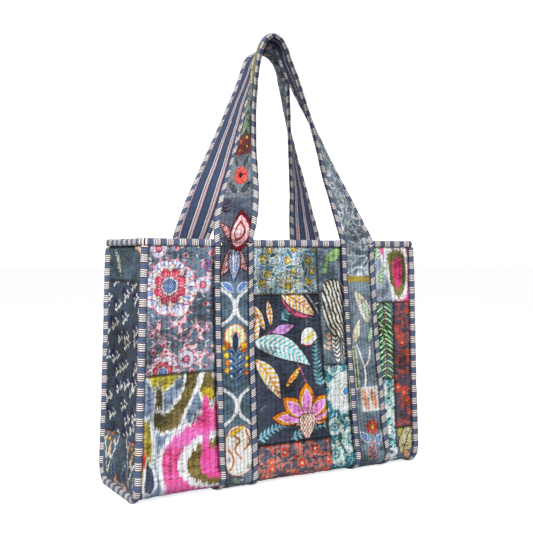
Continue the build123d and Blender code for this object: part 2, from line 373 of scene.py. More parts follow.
def tube(name, rings, looped=False):
    """Closed strip swept through rings of points."""
    count, around = rings.shape[:2]
    ids = np.arange(count * around).reshape(count, around)
    following = np.roll(ids, -1, axis=0) if looped else ids[1:]
    here = ids if looped else ids[:-1]
    quads = np.stack([here, np.roll(here, -1, 1), np.roll(following, -1, 1), following], -1).reshape(-1, 4)
    points = rings.reshape(-1, 3)
    triangles = np.zeros((0, 3), int)
    if not looped:
        ends = rings[[0, -1]].mean(axis=1)
        centre = len(points) + np.arange(2)
        points = np.concatenate([points, ends])
        first = [(centre[0], ids[0, (k + 1) % around], ids[0, k]) for k in range(around)]
        last = [(centre[1], ids[-1, k], ids[-1, (k + 1) % around]) for k in range(around)]
        triangles = np.array(first + last)
    quads, triangles = outward(points, quads, triangles)
    return fine_mesh(name, points, quads, triangles)


# The inks' contrast, the value that it leaves alone, and the brightest ink.
INK_CONTRAST, INK_MIDDLE, INK_LIMIT = 1.28, 0.25, 0.93


def paint(mesh, flat, colours=None):
    """Stores each vertex's place on its flat cloth, in millimetres, and the ink there.

    A third column of flat, if there is one, says how far the cloth is turned in against the cloth beside it,
    0 to 1; a binding's material paints shade there by it.
    """
    places = np.zeros((len(mesh.vertices), 3), np.float32)
    places[: len(flat), : flat.shape[1]] = flat
    mesh.attributes.new("flat", "FLOAT_VECTOR", "POINT").data.foreach_set("vector", places.ravel())
    if colours is not None:
        inks = np.ones((len(mesh.vertices), 4), np.float32)
        stronger = INK_MIDDLE * (np.maximum(colours, 0) / INK_MIDDLE) ** INK_CONTRAST
        inks[: len(colours), :3] = np.clip(stronger, 0, INK_LIMIT)
        mesh.attributes.new("print", "FLOAT_COLOR", "POINT").data.foreach_set("color", inks.ravel())


def add_piece(node, mesh, slot, body="bag"):
    """Puts a mesh in the scene with its slot's material, standing for its CAD node; a bag piece rides on the
    bag's body, and any other piece has its place baked into its mesh.
    """
    piece = bpy.data.objects.new(f"{node}_cloth", mesh)
    bpy.context.scene.collection.objects.link(piece)
    mesh.materials.append(MATERIALS[slot])
    if body == "bag":
        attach(piece, "bag")
    else:
        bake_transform(piece)
    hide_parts(node)
    return piece


# ---------------------------------------------------------------- prints
class Print:
    """Block-printed cloth. x and z are places on the flat cloth; rgb is the ink at each of them."""

    def __init__(self, x, z, ground, seed=1):
        self.x, self.z = x, z
        self.seed = seed
        self.rgb = np.tile(rgb(ground), (len(x), 1))
        self.tint(1 + 0.07 * noise(x / 23, z / 19, seed) + 0.05 * noise(x / 4, z / 1.3, seed + 1))
        self.random = np.random.default_rng(seed)

    def tint(self, factor):
        self.rgb *= factor[:, None]

    def ink(self, where, cover, colour):
        """Lays ink on the vertices in where; cover is 0 to 1 for each of them."""
        worn = 0.93 + 0.07 * noise(self.x[where] / 1.7, self.z[where] / 1.7, self.seed + 5)
        amount = (np.clip(cover, 0, 1) * worn)[:, None]
        self.rgb[where] += amount * (rgb(colour) - self.rgb[where])

    def near(self, points, margin):
        points = np.asarray(points, float)
        low, high = points.min(0) - margin, points.max(0) + margin
        inside = (self.x > low[0]) & (self.x < high[0]) & (self.z > low[1]) & (self.z < high[1])
        return np.flatnonzero(inside)

    def shape(self, where, distance, fill, edge=None, edge_width=1.1):
        """Fill inside a signed distance, with an outline of another colour."""
        distance = distance + 0.35 * noise(self.x[where] / 2.1, self.z[where] / 2.1, self.seed + 9)
        if edge:
            self.ink(where, smoothstep(edge_width + 0.5, edge_width - 0.5, distance), edge)
        if fill:
            self.ink(where, smoothstep(0.5, -0.5, distance), fill)

    def disc(self, centre, radius, fill, edge=None, edge_width=1.1, wobble=0.0, lobes=8):
        where = self.near([centre], radius + 6)
        dx, dz = self.x[where] - centre[0], self.z[where] - centre[1]
        turn = np.arctan2(dz, dx)
        size = radius * (1 + wobble * np.abs(np.sin(turn * lobes / 2)) - wobble / 2)
        self.shape(where, np.hypot(dx, dz) - size, fill, edge, edge_width)

    def petal(self, base, tip, width, fill, edge=None, rib=None, bend=0.0, ribs=4.0, vein=None,
              edge_width=1.1, fullness=0.8, point=0.75, brushed=0.0):
        """A petal or leaf from base to tip; ribs is its side veins' pitch, brushed how broad they are."""
        base, tip = np.array(base, float), np.array(tip, float)
        length = float(np.hypot(*(tip - base)))
        axis = (tip - base) / length
        where = self.near([base, tip], width + abs(bend) + 3)
        dx, dz = self.x[where] - base[0], self.z[where] - base[1]
        along = (dx * axis[0] + dz * axis[1]) / length
        t = np.clip(along, 0, 1)
        side = dz * axis[0] - dx * axis[1] - bend * 4 * t * (1 - t)
        half = width / 2 * np.sin(math.pi * t**fullness) ** point
        beyond = np.maximum(np.abs(along - 0.5) - 0.5, 0) * length
        distance = np.abs(side) - half + beyond
        self.shape(where, distance, fill, edge, edge_width)
        inside = smoothstep(0.2, -1.0, distance)
        if rib:
            wave = np.sin((along * length - 0.9 * np.abs(side)) * 2 * math.pi / ribs) + brushed
            wave = wave + 0.5 * brushed * noise(dx / 3, dz / 3, self.seed + 13)
            self.ink(where, inside * smoothstep(0.1, 0.7, wave), rib)
        if vein:
            self.ink(where, inside * smoothstep(1.1, 0.4, np.abs(side)), vein)

    def line(self, points, width, colour, halo=None, halo_width=1.2):
        """A smooth printed line through points, with an optional outline."""
        path = curve(points)
        where = self.near(path, width + halo_width + 2)
        place = np.stack([self.x[where], self.z[where]], 1)
        distance = np.full(len(where), 1e9)
        for first, last in zip(path, path[1:]):
            step = last - first
            t = np.clip(((place - first) @ step) / max(step @ step, 1e-9), 0, 1)
            distance = np.minimum(distance, np.linalg.norm(place - first - t[:, None] * step, axis=1))
        if halo:
            reach = width / 2 + halo_width
            self.ink(where, smoothstep(reach + 0.5, reach - 0.5, distance), halo)
        self.ink(where, smoothstep(width / 2 + 0.5, width / 2 - 0.5, distance), colour)

    def ikat(self, points, fill, edge=None, feather=7.0, edge_width=4.0):
        """A blob whose edge runs up and down the warp threads in uneven streaks."""
        points = np.asarray(points, float)
        where = self.near(points, feather + edge_width + 3)
        x, z = self.x[where], self.z[where]
        thread = lattice(np.floor(x / 1.1), 0 * x, self.seed + 3) - 0.5
        thread = thread + 0.8 * (lattice(np.floor(x / 3.7), 0 * x, self.seed + 4) - 0.5)
        distance = outline_distance(x, z + feather * thread, points)
        if edge:
            self.ink(where, smoothstep(edge_width + 2, edge_width - 2, distance + 2 * thread), edge)
        self.ink(where, smoothstep(1, -1, distance), fill)

    def blob(self, points, fill, edge=None, edge_width=1.1):
        """A filled smooth outline."""
        where = self.near(points, 6)
        distance = outline_distance(self.x[where], self.z[where], np.asarray(points, float))
        self.shape(where, distance, fill, edge, edge_width)
        return where, smoothstep(0.3, -0.7, distance)

    def stipple(self, centre, radius, colour, pitch=2.6, size=0.8):
        where = self.near([centre], radius)
        dx, dz = self.x[where] - centre[0], self.z[where] - centre[1]
        row = np.round(dz / pitch)
        u = dx / pitch + 0.5 * (row % 2)
        gap = np.hypot((u - np.round(u)) * pitch, dz - row * pitch)
        cover = smoothstep(size + 0.4, size - 0.4, gap) * smoothstep(radius, radius - 1.5, np.hypot(dx, dz))
        self.ink(where, cover, colour)

    def rays(self, centre, inner, outer, count, colour, share=0.3):
        """Short radial strokes between two radii."""
        where = self.near([centre], outer + 2)
        dx, dz = self.x[where] - centre[0], self.z[where] - centre[1]
        away = np.hypot(dx, dz) + 1.2 * noise(dx / 4, dz / 4, self.seed + 17)
        wave = np.cos(np.arctan2(dz, dx) * count + noise(dx / 5, dz / 5, self.seed + 19))
        ring = smoothstep(inner - 0.8, inner + 0.8, away) * smoothstep(outer + 0.8, outer - 0.8, away)
        self.ink(where, ring * smoothstep(1 - 2 * share, 1.3 - 2 * share, wave), colour)

    def flower(self, centre, radius, petals, fill, edge, core, core_edge=None, turn=0.0, rib=None,
               core_share=0.3):
        for k in range(petals):
            angle = turn + 2 * math.pi * k / petals
            tip = around(centre, radius, angle)
            width = 2.3 * radius * math.sin(math.pi / petals)
            self.petal(centre, tip, width, fill, edge, rib, fullness=1.5, ribs=3.2, edge_width=0.9)
        self.disc(centre, radius * core_share, core, core_edge)

    def sprig(self, base, tip, leaves, size, leaf, stem, edge=None, bud=None, bend=4.0, rib=None):
        """A stem with pairs of leaves and an optional bud."""
        base, tip = np.array(base, float), np.array(tip, float)
        axis = (tip - base) / np.hypot(*(tip - base))
        side = np.array([-axis[1], axis[0]])
        middle = (base + tip) / 2 + side * bend
        self.line([base, middle, tip], 1.0, stem)
        for k in range(leaves):
            share = (k + 0.6) / leaves
            root = base + (tip - base) * share + side * bend * 4 * share * (1 - share)
            reach = size * (1.1 - 0.5 * share)
            for hand in (-1, 1):
                self.petal(root, root + axis * reach * 0.7 + side * hand * reach, reach * 0.42, leaf, edge,
                           rib,
                           edge_width=0.8)
        if bud:
            self.petal(tip - axis * size * 0.2, tip + axis * size * 0.8, size * 0.7, bud, edge,
                       edge_width=0.8)

    def spots(self, pitch, draw, box=None, rise=None):
        """Calls draw(spot, number) on a jittered half-drop repeat over a box, or over the whole cloth."""
        whole = (self.x.min(), self.z.min()), (self.x.max(), self.z.max())
        (x_low, z_low), (x_high, z_high) = box or whole
        number = 0
        for row, z in enumerate(np.arange(z_low, z_high + pitch, rise or pitch * 0.87)):
            for x in np.arange(x_low + (row % 2) * pitch / 2, x_high + pitch, pitch):
                jitter = (self.random.random(2) - 0.5) * pitch * 0.35
                draw((x + jitter[0], z + jitter[1]), number)
                number += 1


def around(centre, reach, angle):
    """The point at a distance and an angle from a centre."""
    return centre[0] + reach * math.cos(angle), centre[1] + reach * math.sin(angle)


def curve(points, steps=7):
    """A smooth line through the given points."""
    points = np.asarray(points, float)
    padded = np.concatenate([2 * points[:1] - points[1:2], points, 2 * points[-1:] - points[-2:-1]])
    result = []
    for k in range(len(points) - 1):
        for t in np.arange(steps) / steps:
            weights = cubic_weights(t)
            result.append(sum(w * p for w, p in zip(weights, padded[k : k + 4])))
    return np.array(result + [points[-1]])


def outline_distance(x, z, points):
    """Signed distance to a closed smooth outline, negative inside."""
    path = curve(list(points) + [points[0]], 4)
    distance, inside = np.full(len(x), 1e9), np.zeros(len(x), bool)
    for (x0, z0), (x1, z1) in zip(path, path[1:]):
        dx, dz = x1 - x0, z1 - z0
        t = np.clip(((x - x0) * dx + (z - z0) * dz) / max(dx * dx + dz * dz, 1e-9), 0, 1)
        distance = np.minimum(distance, np.hypot(x - x0 - t * dx, z - z0 - t * dz))
        crosses = (z0 > z) != (z1 > z)
        inside ^= crosses & (x < x0 + (z - z0) * dx / (dz if abs(dz) > 1e-9 else 1e-9))
    return np.where(inside, -distance, distance)


CREAM, WHITE, NAVY, BLACK = "#eee3cf", "#f1efec", "#26344f", "#1b1c20"


def print_big_flower(x, z, seed=11):
    c = Print(x, z, "#74828e", seed)
    red, blue, rose = "#a03248", "#4a6c9c", "#c4566c"

    def speck(spot, number):
        turn = 2.2 * number
        c.line([spot, around(spot, 5, turn)], 1.2, (red, blue, WHITE)[number % 3])
    c.spots(9, speck, ((-226, 166), (-86, 344)))
    for k, (sx, sz) in enumerate([(-203, 228), (-172, 236), (-140, 226), (-114, 196), (-190, 200),
                                  (-104, 262),
                                  (-112, 302), (-140, 190), (-118, 330), (-160, 206)]):
        turn = 0.9 + 1.7 * k
        for j in range(6):
            angle = turn + j * 0.95
            reach = 12 + 6 * lattice(j, k, 3)
            tip = around((sx, sz), reach, angle)
            fill = (WHITE, "#e3c9ce", "#c3cfe0")[(j + k) % 3]
            c.petal((sx, sz), tip, 6.0, fill, red, rose if j % 2 else blue, bend=4 * (-1) ** j, ribs=2.6,
                    edge_width=1.0, point=1.1, brushed=-0.3)
        c.disc((sx, sz), 2.8, rose, WHITE)
    for k in range(16):
        root = (-142 + 26 * lattice(k, 2, 9) + 8, 300 + 38 * lattice(k, 4, 9))
        turn = 2.1 * k
        tip = around(root, 11, turn)
        c.petal(root, tip, 5.0, (WHITE, "#3d5f96", "#d9a9b2")[k % 3], (red, NAVY)[k % 2], rose, ribs=2.4,
                bend=3 * (-1) ** k, edge_width=1.0)
    c.line([(-214, 205), (-190, 222), (-165, 214), (-140, 238), (-112, 226)], 1.0, red, "#d8cfd2", 0.7)
    c.line([(-218, 240), (-196, 214), (-170, 190), (-130, 178)], 1.0, red, "#d8cfd2", 0.7)
    for bx, bz in [(-137, 288), (-160, 188), (-206, 336), (-98, 236)]:
        c.flower((bx, bz), 12, 7, "#e3dcdf", red, rose, NAVY, turn=bx, rib="#6f8cb8", core_share=0.36)
        c.stipple((bx, bz), 4, WHITE, 2.0, 0.45)
    for bx, bz in [(-159, 251), (-193, 208), (-165, 328), (-211, 222), (-208, 200), (-118, 250), (-126, 331),
                   (-152, 172), (-98, 200), (-214, 262), (-180, 338), (-132, 262), (-108, 282)]:
        c.disc((bx, bz), 2.8, "#b8384e", "#e6d5d6", 0.9)
    for centre, size in [((-187, 287), 41), ((-194, 172), 26)]:
        for k in range(8):
            angle = 0.5 + 2 * math.pi * k / 8
            reach = size * (0.84 + 0.34 * lattice(k, 0, 5))
            tip = around(centre, reach, angle)
            c.petal(centre, tip, size * 0.78, "#f5f0f0", "#b3445a", None, fullness=1.9, point=0.6,
                    edge_width=2.0)
            for share, ink in ((0.86, "#5f8ac0"), (0.7, "#d9808c")):
                for lean in (-0.2, 0.16):
                    mark = around(centre, reach * share, angle + lean)
                    c.petal(centre, mark, size * 0.14, ink, None, WHITE, fullness=2.4, ribs=2.2)
        c.rays(centre, size * 0.58, size * 0.86, 34, "#6d93cc", 0.3)
        c.rays(centre, size * 0.82, size * 0.98, 19, "#dc8c9a", 0.22)
        c.disc(centre, size * 0.62, "#ead9ce", "#8d3448", wobble=0.34, lobes=11)
        c.rays(centre, size * 0.47, size * 0.6, 40, "#5f3338", 0.32)
        c.disc(centre, size * 0.5, "#d65c76", "#7d2236", wobble=0.3, lobes=8)
        c.rays(centre, size * 0.3, size * 0.45, 26, "#efc2c8", 0.25)
        c.disc(centre, size * 0.3, "#f1ece8", "#7d2236", wobble=0.12, lobes=7)
        c.rays(centre, size * 0.2, size * 0.32, 24, "#33507e", 0.3)
        c.disc(centre, size * 0.2, "#4a6fa8", NAVY, wobble=0.15, lobes=6)
        c.stipple(centre, size * 0.22, WHITE, 2.6, 0.6)
    return c.rgb


def print_ikat(x, z, seed=21):
    c = Print(x, z, "#7f8d9f", seed)
    streak = noise(x / 1.2, z / 26, seed) * 0.5 + 0.5
    c.ink(np.arange(len(x)), 0.2 * smoothstep(0.55, 0.9, streak), "#c9d2da")
    pink, olive, white = "#f0609f", "#675a17", "#f1f2f0"
    c.ikat([(-220, 176), (-168, 176), (-174, 162), (-190, 149), (-208, 153)], "#b3a631", white, edge_width=2)
    c.ikat([(-203, 150), (-194, 150), (-194, 112), (-203, 112)], "#54511c", white, edge_width=1.5)
    c.ikat([(-205, 118), (-204, 100), (-190, 95), (-172, 98), (-165, 112), (-157, 128), (-147, 150),
            (-139, 176),
            (-157, 176), (-161, 154), (-170, 136), (-179, 124), (-187, 117), (-196,
                                                                              120)], olive, white, feather=6)
    c.ikat([(-141, 147), (-127, 172), (-113, 150), (-114, 138), (-127, 123)], olive, white)
    c.ikat([(-136, 146), (-121, 147), (-121, 134), (-136, 134)], "#b3a43a", None, feather=4)
    c.ikat([(-127, 122), (-142, 106), (-165, 94), (-184, 78), (-193, 56), (-188, 20), (-178, 0), (-88, -4),
            (-84, 116)], pink, white, feather=8, edge_width=6)
    c.ikat([(-88, 88), (-128, 86), (-150, 78), (-165, 64), (-171, 48), (-167, 32), (-154, 18), (-136, 10),
            (-88, 8)], white, None, 6)
    c.ikat([(-88, 80), (-130, 76), (-148, 66), (-157, 52), (-156, 36), (-145, 22), (-126, 15), (-88, 14)],
           "#74641c",
           None, 6)
    c.ikat([(-94, 66), (-128, 64), (-138, 54), (-138, 38), (-128, 26), (-94, 24)], pink, None, 5)
    c.ikat([(-136, 132), (-127, 132), (-127, 50), (-136, 50)], pink, None, feather=3)
    c.ikat([(-224, 112), (-212, 106), (-207, 70), (-211, 34), (-224, 30)], "#9a8c30", white)
    c.ikat([(-226, 72), (-217, 68), (-217, 50), (-226, 46)], "#c9463f", None, feather=4)
    c.ikat([(-213, 58), (-206, 44), (-204, 22), (-212, 12), (-218, 26)], "#34405f", white, feather=5,
           edge_width=2)
    c.ikat([(-228, 14), (-219, 16), (-217, -4), (-226, -8)], "#34405f", white, feather=4, edge_width=2)
    return c.rgb


def print_scrolls(x, z, seed=31):
    c = Print(x, z, "#7fa0b3", seed)

    def scroll(spot, number):
        turn = 2.4 * number
        hand = (-1) ** number
        spiral = [
            around(spot, r, turn + hand * a)
            for r, a in ((13, 0.0), (11, 0.9), (9, 1.8), (6.5, 2.8), (4, 3.9), (2, 5.2))
        ]
        c.line(spiral, 1.9, "#29576b", "#e6e3cf", 1.0)
        c.petal(spiral[1], around(spot, 17, turn + 0.5), 6, "#3d7284", "#e6e3cf")
        if number % 2:
            c.flower(spot, 5.5, 6, "#cbb13a", "#3a4a4c", "#e6e3cf", turn=turn)
        else:
            c.stipple(spot, 9, "#e6e3cf", 2.8, 0.7)
    c.spots(19, scroll)
    for k in range(7):
        angle = math.pi * (0.08 + 0.14 * k)
        tip = (-2 + 17 * math.cos(angle), 284 + 17 * math.sin(angle))
        c.petal((-2, 284), tip, 6.5, "#dcd9c6", "#29576b", "#c6a92c", ribs=3)
    c.disc((-2, 284), 4.5, "#c6a92c", "#29576b")
    return c.rgb


def print_leaves(x, z, seed=41):
    c = Print(x, z, "#484e5b", seed)
    white, yellow, aqua, dark = "#f7f4ec", "#eaa621", "#66bcc0", "#23252e"
    fern = dict(leaves=8, size=8, leaf="#86b7bf", stem="#9fc3c4")
    c.sprig((-12, 236), (22, 256), **fern)
    c.sprig((58, 134), (48, 208), **{**fern, "leaves": 12})
    c.sprig((-50, 66), (2, 84), **fern)
    c.sprig((-70, 120), (-56, 176), **fern)
    c.sprig((6, 62), (66, 76), **fern)
    c.line([(26, 278), (44, 256), (60, 232)], 1.2, "#e6dfd6")
    c.line([(44, 256), (60, 262)], 1.0, "#e6dfd6")

    def leaf(base, tip, width, brush, bend=0.0, ribs=7.5, fullness=0.9):
        c.petal(base, tip, width, white, dark, brush, bend=bend, ribs=ribs, brushed=0.5, fullness=fullness,
                point=0.95, edge_width=1.6)
        c.petal(base, tip, width * 0.9, None, None, None, bend=bend, vein="#b3502c", fullness=fullness)
    c.petal((-12, 268), (40, 238), 12, "#c46a86", dark, bend=-6)
    leaf((-16, 278), (46, 240), 24, yellow, 2)
    leaf((-58, 258), (-38, 222), 12, yellow)
    leaf((-34, 264), (-28, 226), 9, yellow)
    c.line([(-52, 208), (-36, 216), (-20, 222)], 1.3, "#c36a8e")
    c.petal((-26, 218), (10, 227), 14, "#dca6d6", dark, None, fullness=0.9, point=1.0)
    c.stipple((-8, 222), 10, "#4464a8", 3.2, 0.8)
    leaf((-62, 200), (-52, 244), 19, yellow)
    c.blob([(22, 200), (24, 216), (36, 223), (47, 215), (48, 204), (36, 197)], white, dark, 1.4)
    c.petal((28, 202), (44, 216), 9, "#e9c25a", None, fullness=1.0)
    c.line([(23, 199), (36, 196), (48, 203)], 1.4, "#b3362c")
    c.petal((-58, 206), (38, 167), 31, white, dark, aqua, bend=9, ribs=8.0, brushed=0.25, point=0.95,
            edge_width=1.6)
    leaf((-54, 181), (-12, 122), 23, yellow, 4, 8.5)
    c.petal((-2, 139), (22, 167), 9, "#dd8a34", dark, "#f0d68a", ribs=6)
    c.line([(31, 142), (25, 156), (17, 170)], 1.3, "#cf6f9a")
    leaf((-74, 164), (-58, 106), 15, aqua)
    for fx, fz in [(-40, 108), (-20, 190), (36, 232), (60, 178), (-30, 142), (4, 112)]:
        c.sprig((fx - 5, fz - 6), (fx + 5, fz + 6), 2, 4, "#6d7a86", "#6d7a86")
    draw_lotus(c, (34, 88))
    return c.rgb


def draw_lotus(c, heart):
    """An open flower of pointed petals on a latticed cup."""
    petals = [((-20, -6), 10), ((32, -6), 10), ((-60, 8), 20), ((42, 10), 20), ((-42, 34), 24),
              ((37, 33), 24),
              ((-3, 54), 26)]
    for (dx, dz), width in petals:
        tip = (heart[0] + dx, heart[1] + dz)
        c.petal(heart, tip, width, "#e8972c", "#5f1716", "#8f2a1a", fullness=1.3, ribs=4.2, edge_width=1.6,
                point=1.0,
                brushed=-0.45)
        inner = (heart[0] + dx * 0.82, heart[1] + dz * 0.82)
        c.petal(heart, inner, width * 0.56, "#e58fcb", "#f6e3dc", fullness=1.3, edge_width=1.5, point=1.0)
    x0, z0 = heart
    cup = [(x0 - 14, z0), (x0 - 9, z0 + 7), (x0 + 8, z0 + 7), (x0 + 13, z0), (x0 + 9, z0 - 18), (x0, z0 - 28),
           (x0 - 10, z0 - 18)]
    where, inside = c.blob(cup, "#f3ead6", "#5f1716", 1.6)
    dx, dz = c.x[where] - x0, c.z[where] - z0
    for lean in (-1, 1):
        wave = np.abs(np.sin((dx * 1.35 + lean * dz * 0.8) * math.pi / 6.5))
        c.ink(where, inside * smoothstep(0.5, 0.3, wave), "#a8431a")


def florets(ground, seed, pitch, petals, core, edge, stem, leaf, radius=6.0):
    """A print strewn with small flowers on curling stems."""
    def draw_print(x, z):
        c = Print(x, z, ground, seed)

        def floret(spot, number):
            turn = 1.9 * number
            away = around(spot, pitch * 0.55, turn)
            middle = ((spot[0] + away[0]) / 2 + 3, (spot[1] + away[1]) / 2 - 3)
            c.line([spot, middle, away], 1.0, stem)
            for share in (0.45, 0.8):
                root = (spot[0] + (away[0] - spot[0]) * share, spot[1] + (away[1] - spot[1]) * share)
                c.petal(root, around(root, 6, turn + 1.2), 3.6, leaf, edge)
            colour = petals[number % len(petals)]
            c.flower(spot, radius * (0.8 + 0.3 * (number % 3)), 5 + number % 3, colour, edge, core, turn=turn)
        c.spots(pitch, floret)
        return c.rgb
    return draw_print


def scrolling(ground, seed, pitch, warm, light, accent):
    """Curling stems, curved leaves and ragged flowers, over the whole cloth."""
    def draw_print(x, z):
        c = Print(x, z, ground, seed)

        def curl(spot, number):
            turn, hand = 2.3 * number, (-1) ** number
            path = [around(spot, r, turn + hand * a)
                    for r, a in ((pitch * 0.8, 0.0), (pitch * 0.5, 0.8), (pitch * 0.3, 1.9),
                                 (pitch * 0.14, 3.4))]
            c.line(path, 1.5, warm[number % 2], light, 0.5)
            for step in (0, 1):
                root = path[step]
                angle = turn + hand * (1.4 + step)
                tip = around(root, pitch * 0.5, angle)
                c.petal(root, tip, pitch * 0.2, warm[(number + step) % 2], light, bend=2 * hand,
                        edge_width=0.7)
            if number % 3 == 0:
                c.flower(spot, pitch * 0.42, 5, warm[0], light, accent, turn=turn, core_share=0.25)
        c.spots(pitch, curl)
        return c.rgb
    return draw_print


print_coral = scrolling("#6b6670", 51, 17.0, ("#cf4f2a", "#d9693a"), "#a9a3a3", "#e9ddc8")
print_rust = scrolling("#5a525c", 61, 15.0, ("#b9472c", "#a03c2c"), "#77696c", "#d8a07a")
print_teal = florets("#3a6f7a", 71, 17.0, ("#9fd0bf", "#5fa3a6", "#d7e6da"), "#2c5864", "#e3eee2", "#bcd9cb",
                     "#2f6470", 8)
print_slate = florets("#4c5b6b", 81, 21.0, ("#c9ccd0", "#b85a6a", "#7f9cc4"), "#e3c46c", "#2a3442",
                      "#9aa7b3", "#6d8a86", 8)


def print_back_leaves(x, z, seed=45):
    """Loose leaves, ferns and open flowers, as on the front, over a larger cloth."""
    c = Print(x, z, "#484e5b", seed)
    white, dark = "#f4f0e6", "#23252e"

    def loose(spot, number):
        turn = 1.3 * number
        reach = 15 + 7 * lattice(number, 2, seed)
        base = around(spot, -reach, turn)
        tip = around(spot, reach, turn)
        if number % 7 == 3:
            draw_lotus(c, spot)
        elif number % 3 == 2:
            c.sprig(base, tip, 6, 8, "#86b7bf", "#9fc3c4")
        else:
            brush = ("#e3a52c", "#6fbcbf", "#d98aa6")[number % 3]
            c.petal(base, tip, 0.62 * reach, white, dark, brush, bend=3, ribs=7.5, brushed=0.25, point=0.95)
    c.spots(44, loose)
    return c.rgb


def print_sea_flowers(x, z, seed=91):
    c = Print(x, z, "#3c808d", seed)
    mint, deep, pale = "#a9d3c6", "#1f4f5c", "#e9f0e6"

    def leaf(spot, number):
        turn = 2.1 * number
        tip = around(spot, 12, turn)
        c.petal(spot, tip, 6, (mint, pale, "#4f97a2")[number % 3], deep, deep, ribs=2.8, brushed=-0.4)
        c.line([spot, (spot[0] - 5 * math.cos(turn), spot[1] + 6)], 1.0, pale)
    c.spots(10, leaf, ((60, 10), (150, 165)))
    for centre, size in [((102, 124), 34), ((140, 92), 17), ((114, 52), 20), ((82, 32), 16), ((82, 72), 14),
                         ((144, 146), 14), ((140, 26), 14), ((80, 160), 12)]:
        c.flower(centre, size, 10, pale, deep, pale, turn=0.2, rib=mint, core_share=0.4)
        bloom = (pale, "#dfeadb", "#c9dccb") if size > 30 else (pale, mint, "#4c93a0")
        for layer, share in enumerate((0.82, 0.62, 0.44)):
            c.disc(centre, size * share, bloom[layer], deep, 0.5, wobble=0.2, lobes=13 - 2 * layer)
            c.stipple(centre, size * share, (mint, deep, pale)[layer], 2.7, 0.6)
        c.disc(centre, size * 0.26, pale, deep, wobble=0.3, lobes=5)
        c.disc(centre, size * 0.13, "#5b8fc0", deep)
    return c.rgb


def print_stripes(x, z, seed=101):
    """Chambray with a leafy corner and a broad black and cream striped motif."""
    c = Print(x, z, "#7b8791", seed)
    c.tint(1 + 0.10 * noise(x / 14, z / 0.9, seed))
    c.petal((62, 322), (92, 338), 15, "#a9c08c", "#3e5a46", "#6c8f63")
    c.petal((58, 300), (66, 322), 9, "#8fae84", "#3e5a46")
    c.petal((96, 334), (122, 330), 13, "#2a2f36", "#6d7a80")
    for k, (bx, bz) in enumerate([(112, 292), (62, 262), (116, 240), (64, 186), (118, 176)]):
        c.sprig((bx, bz), (bx + 6, bz + 22), 3, 6, "#c98a3e", "#8a5a34", CREAM, bud="#d9702f",
                bend=(-1) ** k * 3)
    cream, black = "#efe9da", "#141418"
    c.petal((88, 166), (80, 226), 13, cream, black, black, ribs=6.5, edge_width=1.4, fullness=0.9,
            brushed=0.3)
    c.petal((101, 168), (104, 226), 13, cream, black, black, ribs=6.5, edge_width=1.4, fullness=0.9,
            brushed=0.3)
    leafy = [(58, 286), (76, 293), (98, 282), (110, 254), (112, 226), (100, 206), (82, 210), (66, 228),
             (58, 256)]
    where, inside = c.blob(leafy, cream, black, 1.6)
    px, pz = c.x[where], c.z[where]
    bent = px * 0.9 + pz * 0.42 + 5 * noise(px / 22, pz / 26, seed) + 1.2 * noise(px / 6, pz / 6, seed + 1)
    c.ink(where, inside * smoothstep(-0.25, 0.15, np.sin(bent * 2 * math.pi / 6.4)), black)
    return c.rgb


def print_pink_ikat(x, z, seed=111):
    c = Print(x, z, "#929ea9", seed)
    streak = noise(x / 1.2, z / 24, seed) * 0.5 + 0.5
    c.ink(np.arange(len(x)), 0.35 * smoothstep(0.5, 0.9, streak), "#d5dbdf")
    pink, olive, white = "#d84e84", "#6d6a24", "#ece8ea"
    c.ikat([(152, 358), (236, 358), (236, 250), (200, 250), (192, 276), (180, 300), (166, 330)], pink, white,
           8)
    c.ikat([(170, 344), (190, 350), (214, 344), (220, 300), (212, 258), (196, 262), (182, 290), (172, 318)],
           white,
           None, 7)
    c.ikat([(178, 326), (192, 338), (208, 334), (216, 310), (214, 280), (204, 262), (192, 276), (184, 300)],
           olive,
           None, 6)
    c.ikat([(190, 316), (198, 328), (207, 318), (209, 296), (204, 278), (197, 282), (191, 298)], pink, None,
           5)
    for bx, bz in [(150, 304), (146, 262), (168, 282), (160, 322)]:
        c.sprig((bx - 4, bz), (bx + 5, bz + 28), 5, 8, "#5f8a5a", "#3e5a46", "#d9e0c9")
    return c.rgb


def print_palm(x, z, seed=121):
    c = Print(x, z, "#7f8890", seed)
    c.tint(1 + 0.08 * noise(x / 14, z / 0.9, seed))
    for spine in ([(146, 296), (162, 276), (172, 250), (176, 222), (176, 196)],
                  [(152, 232), (164, 222), (174, 200), (178, 176), (176, 144)]):
        spots = curve(spine, 3)
        for px, pz in spots[1:]:
            for hand, reach in ((-1, 17), (1, 15)):
                tip = (px + hand * reach, pz - 13 + 3 * hand)
                c.petal((px, pz), tip, 5.2, "#2f8f4e", BLACK, vein="#dfe6c2", bend=1.5 * hand, edge_width=1.2)
        c.line(spine, 1.6, "#7c1f26")
    return c.rgb


def print_stems(x, z, seed=131):
    c = Print(x, z, "#76828f", seed)
    c.petal((200, 18), (224, 72), 24, "#a39b58", BLACK, CREAM, ribs=4, vein=BLACK, edge_width=1.5)
    c.petal((196, 46), (204, 66), 8, "#a39b58", BLACK)
    c.petal((218, 4), (204, 26), 10, "#c9803e", BLACK, CREAM)
    return c.rgb


def print_gusset_sprigs(y, z, seed=141):
    c = Print(y, z, "#45525f", seed)
    c.tint(1 + 0.10 * noise(y / 5, z / 1.2, seed))

    def sprig(spot, number):
        c.petal((spot[0] + 12, spot[1] - 2), (spot[0] + 10, spot[1] + 12), 11, "#281a5c", "#1d1440",
                fullness=1.0)
        for across, hand in ((-7, 1), (5, -1)):
            root = (spot[0] + across, spot[1] - 6 - 0.5 * across)
            c.line([root, (root[0] - hand, root[1] + 8)], 1.2, "#d6d3c8")
            for step, lean in ((0, 1), (3.5, -1), (7, 1)):
                c.petal((root[0], root[1] + step), (root[0] + 6 * lean, root[1] + step + 5), 3.0, "#e2dfd4")
    c.spots(66, sprig, ((-100, 60), (100, 300)), rise=12.5)
    return c.rgb


